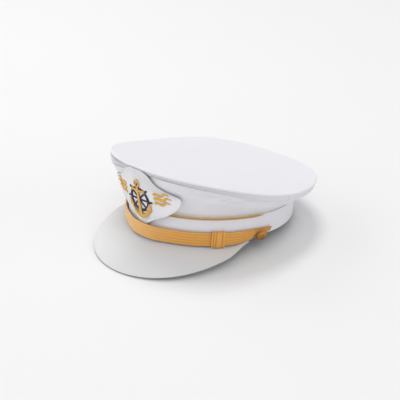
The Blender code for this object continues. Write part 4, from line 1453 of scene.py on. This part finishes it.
class MakeEmblem(bpy.types.Operator):
    """The embroidery: an anchor on a ship's wheel between waves"""

    bl_idname = "sailor_cap.emblem"
    bl_label = "Emblem"

    def sew(self, name, strokes, finish, slot, base, replaced):
        """Strokes of satin stitch, each a closed tube, joined as pieces of one form."""
        settings = bpy.context.scene.cap_emblem

        def on_panel(x, height, lift):
            return panel_point(x, PANEL_BOTTOM + height, lift + base)

        made = []
        for number, (path, half, closed) in enumerate(strokes):
            grid = stitched(path, half, settings.thread, settings.padding, on_panel, closed)
            part = f"{name}_{number + 1}"
            made.append(put(part, grid, finish, round_rows=closed, round_across=True, caps=not closed))
        first = made[0]
        with bpy.context.temp_override(active_object=first, selected_editable_objects=made):
            bpy.ops.object.join()
        first.name = name
        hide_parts(replaced)

    def wheel(self):
        """The ship's wheel: a ring, spokes and a hub inside it, and tapered handles outside it."""
        middle = np.array([0, WHEEL_CENTRE])
        ring = arc((0, WHEEL_CENTRE), WHEEL_RADIUS - WHEEL_RING / 2, 0, 360, 181)[:-1]
        strokes = [(ring, WHEEL_RING / 2, True)]
        inner = WHEEL_RADIUS - WHEEL_RING
        for n in range(WHEEL_SPOKES):
            turn = TURN * n / WHEEL_SPOKES
            ray = np.array([math.sin(turn), math.cos(turn)])
            spoke = middle + ray * np.linspace(SPOKE_WIDTH, inner, 9)[:, None]
            strokes.append((spoke, SPOKE_WIDTH / 2 * np.linspace(1.05, 0.9, 9), False))
            outwards = np.linspace(WHEEL_RADIUS - GAP, WHEEL_RADIUS + HANDLE_LENGTH, 13)[:, None]
            bulb = SPOKE_WIDTH / 2 * (0.65 + 0.5 * np.sin(math.pi * np.linspace(0.1, 0.97, 13)))
            strokes.append((middle + ray * outwards, bulb, False))
        hub = arc((0, WHEEL_CENTRE), 0.7 * SPOKE_WIDTH, 0, 360, 25)[:-1]
        strokes.append((hub, 0.65 * SPOKE_WIDTH, True))
        return strokes

    def waves(self):
        """Wave stripes on both sides: sines along a slanting line, whose width falls to a point."""
        strokes = {}
        for word, side in (("left", 1), ("right", -1)):
            for number in range(WAVES_A_SIDE):
                share = np.linspace(0, 1, 61)
                along = share * WAVE_LENGTH * (1 - 0.12 * abs(number - 1))
                swing = 0.34 * WAVE_WIDTH * np.sin(share * 3.2 * math.pi)
                half = WAVE_WIDTH / 2 * np.sqrt(np.clip(1 - share**3, 0.01, 1))
                c, s = math.cos(WAVE_RISE), math.sin(WAVE_RISE)
                x = side * (WAVE_START + along * c - swing * s)
                y = WAVE_HEIGHT + number * WAVE_SPACING + along * s + swing * c
                strokes[f"{word}_{number + 1}"] = [(np.stack([x, y], -1), 0.92 * half, False)]
        return strokes

    def execute(self, context):
        settings = context.scene.cap_emblem
        navy = thread("navy thread", tuple(settings.navy), 0.0, 0.5, 1.6)
        gold = thread("gold thread", tuple(settings.gold), 0.35, 0.42, 1.15)
        self.sew("wheel_stitches", self.wheel(), navy, "navy_thread", LOWER_BASE, "emblem_wheel")
        anchor = [
            (path + np.array([0, ANCHOR_CENTRE]), half, False) for path, half in anchor_strokes(ANCHOR_HEIGHT)
        ]
        self.sew("anchor_stitches", anchor, gold, "gold_thread", UPPER_BASE, "emblem_anchor")
        for word, strokes in self.waves().items():
            self.sew(f"wave_{word}_stitches", strokes, gold, "gold_thread", LOWER_BASE, f"emblem_wave_{word}")
        return {"FINISHED"}


class MakeStage(bpy.types.Operator):
    """The plain floor, the soft light and the camera"""

    bl_idname = "sailor_cap.stage"
    bl_label = "Stage"

    def execute(self, context):
        settings = context.scene.cap_stage
        self.floor(settings)
        self.light(settings)
        self.camera(settings)
        context.scene.view_settings.view_transform = "Standard"
        return {"FINISHED"}

    def floor(self, settings):
        bpy.ops.mesh.primitive_plane_add(size=FLOOR_SIDE)
        floor = bpy.context.object
        floor.name = "floor"
        colour = tuple(settings.floor_colour)
        made = Finish("floor", colour, 0.9)
        made.show("Base Color", made.blend(made.noise(0.4), shaded(colour, 0.985), shaded(colour, 1.005)))
        floor.data.materials.append(made.material)

    def light(self, settings):
        world = bpy.data.worlds.new("soft room")
        bpy.context.scene.world = world
        world.use_nodes = True
        sky = world.node_tree.nodes["Background"]
        sky.inputs["Color"].default_value = (1.0, 1.0, 1.0, 1)
        sky.inputs["Strength"].default_value = settings.ambient
        for name, turn, elevation, power, share in SOFT_LIGHTS:
            panel = bpy.data.lights.new(name, "AREA")
            panel.shape = "SQUARE"
            panel.size = settings.light_size * share
            panel.energy = power * settings.brightness
            lamp = bpy.data.objects.new(name, panel)
            bpy.context.scene.collection.objects.link(lamp)
            flat = Vector((math.sin(turn - settings.azimuth), math.cos(turn - settings.azimuth), 0))
            direction = flat * math.cos(elevation) + Vector((0, 0, math.sin(elevation)))
            lamp.location = direction * settings.light_distance
            lamp.rotation_euler = direction.to_track_quat("Z", "Y").to_euler()

    def camera(self, settings):
        """Looks at the aim point from the azimuth and elevation, leaning by the roll."""
        data = bpy.data.cameras.new("camera")
        data.lens = settings.lens
        data.sensor_width = SENSOR_WIDTH
        data.clip_end = CLIP_END
        camera = bpy.data.objects.new("camera", data)
        bpy.context.scene.collection.objects.link(camera)
        a, e, r = settings.azimuth, settings.elevation, -settings.roll
        back = Vector((math.sin(a) * math.cos(e), -math.cos(a) * math.cos(e), math.sin(e)))
        level = Vector((math.cos(a), math.sin(a), 0))
        above = back.cross(level)
        right = level * math.cos(r) + above * math.sin(r)
        up = back.cross(right)
        place = Matrix((right, up, back)).transposed().to_4x4()
        place.translation = Vector(settings.aim) + back * settings.distance
        camera.matrix_world = place
        bpy.context.scene.camera = camera


PIECES = (
    MakeStage,
    MakeCrownTop,
    MakeRimStrip,
    MakeCrownSide,
    MakeBand,
    MakePiping,
    MakePeak,
    MakeChinStrap,
    MakeButtons,
    MakeBadgePanel,
    MakeEmblem,
)


class SailorCapPanel(bpy.types.Panel):
    """Lists the settings and the pieces in the sidebar"""

    bl_idname = "VIEW3D_PT_sailor_cap"
    bl_label = "Sailor Cap"
    bl_space_type = "VIEW_3D"
    bl_region_type = "UI"
    bl_category = "Sailor Cap"

    def draw(self, context):
        for name, group in SETTINGS.items():
            box = self.layout.box()
            for prop in group.__annotations__:
                box.prop(getattr(context.scene, name), prop)
        for piece in PIECES:
            self.layout.operator(piece.bl_idname)


def register():
    for group in SETTINGS.values():
        bpy.utils.register_class(group)
    for piece in PIECES:
        bpy.utils.register_class(piece)
    bpy.utils.register_class(SailorCapPanel)
    for name, group in SETTINGS.items():
        setattr(bpy.types.Scene, name, PointerProperty(type=group))


def unregister():
    for name in SETTINGS:
        delattr(bpy.types.Scene, name)
    bpy.utils.unregister_class(SailorCapPanel)
    for piece in reversed(PIECES):
        bpy.utils.unregister_class(piece)
    for group in SETTINGS.values():
        bpy.utils.unregister_class(group)


def main():
    register()
    for piece in PIECES:
        getattr(bpy.ops.sailor_cap, piece.bl_idname.split(".")[1])()


if __name__ == "__main__":
    main()
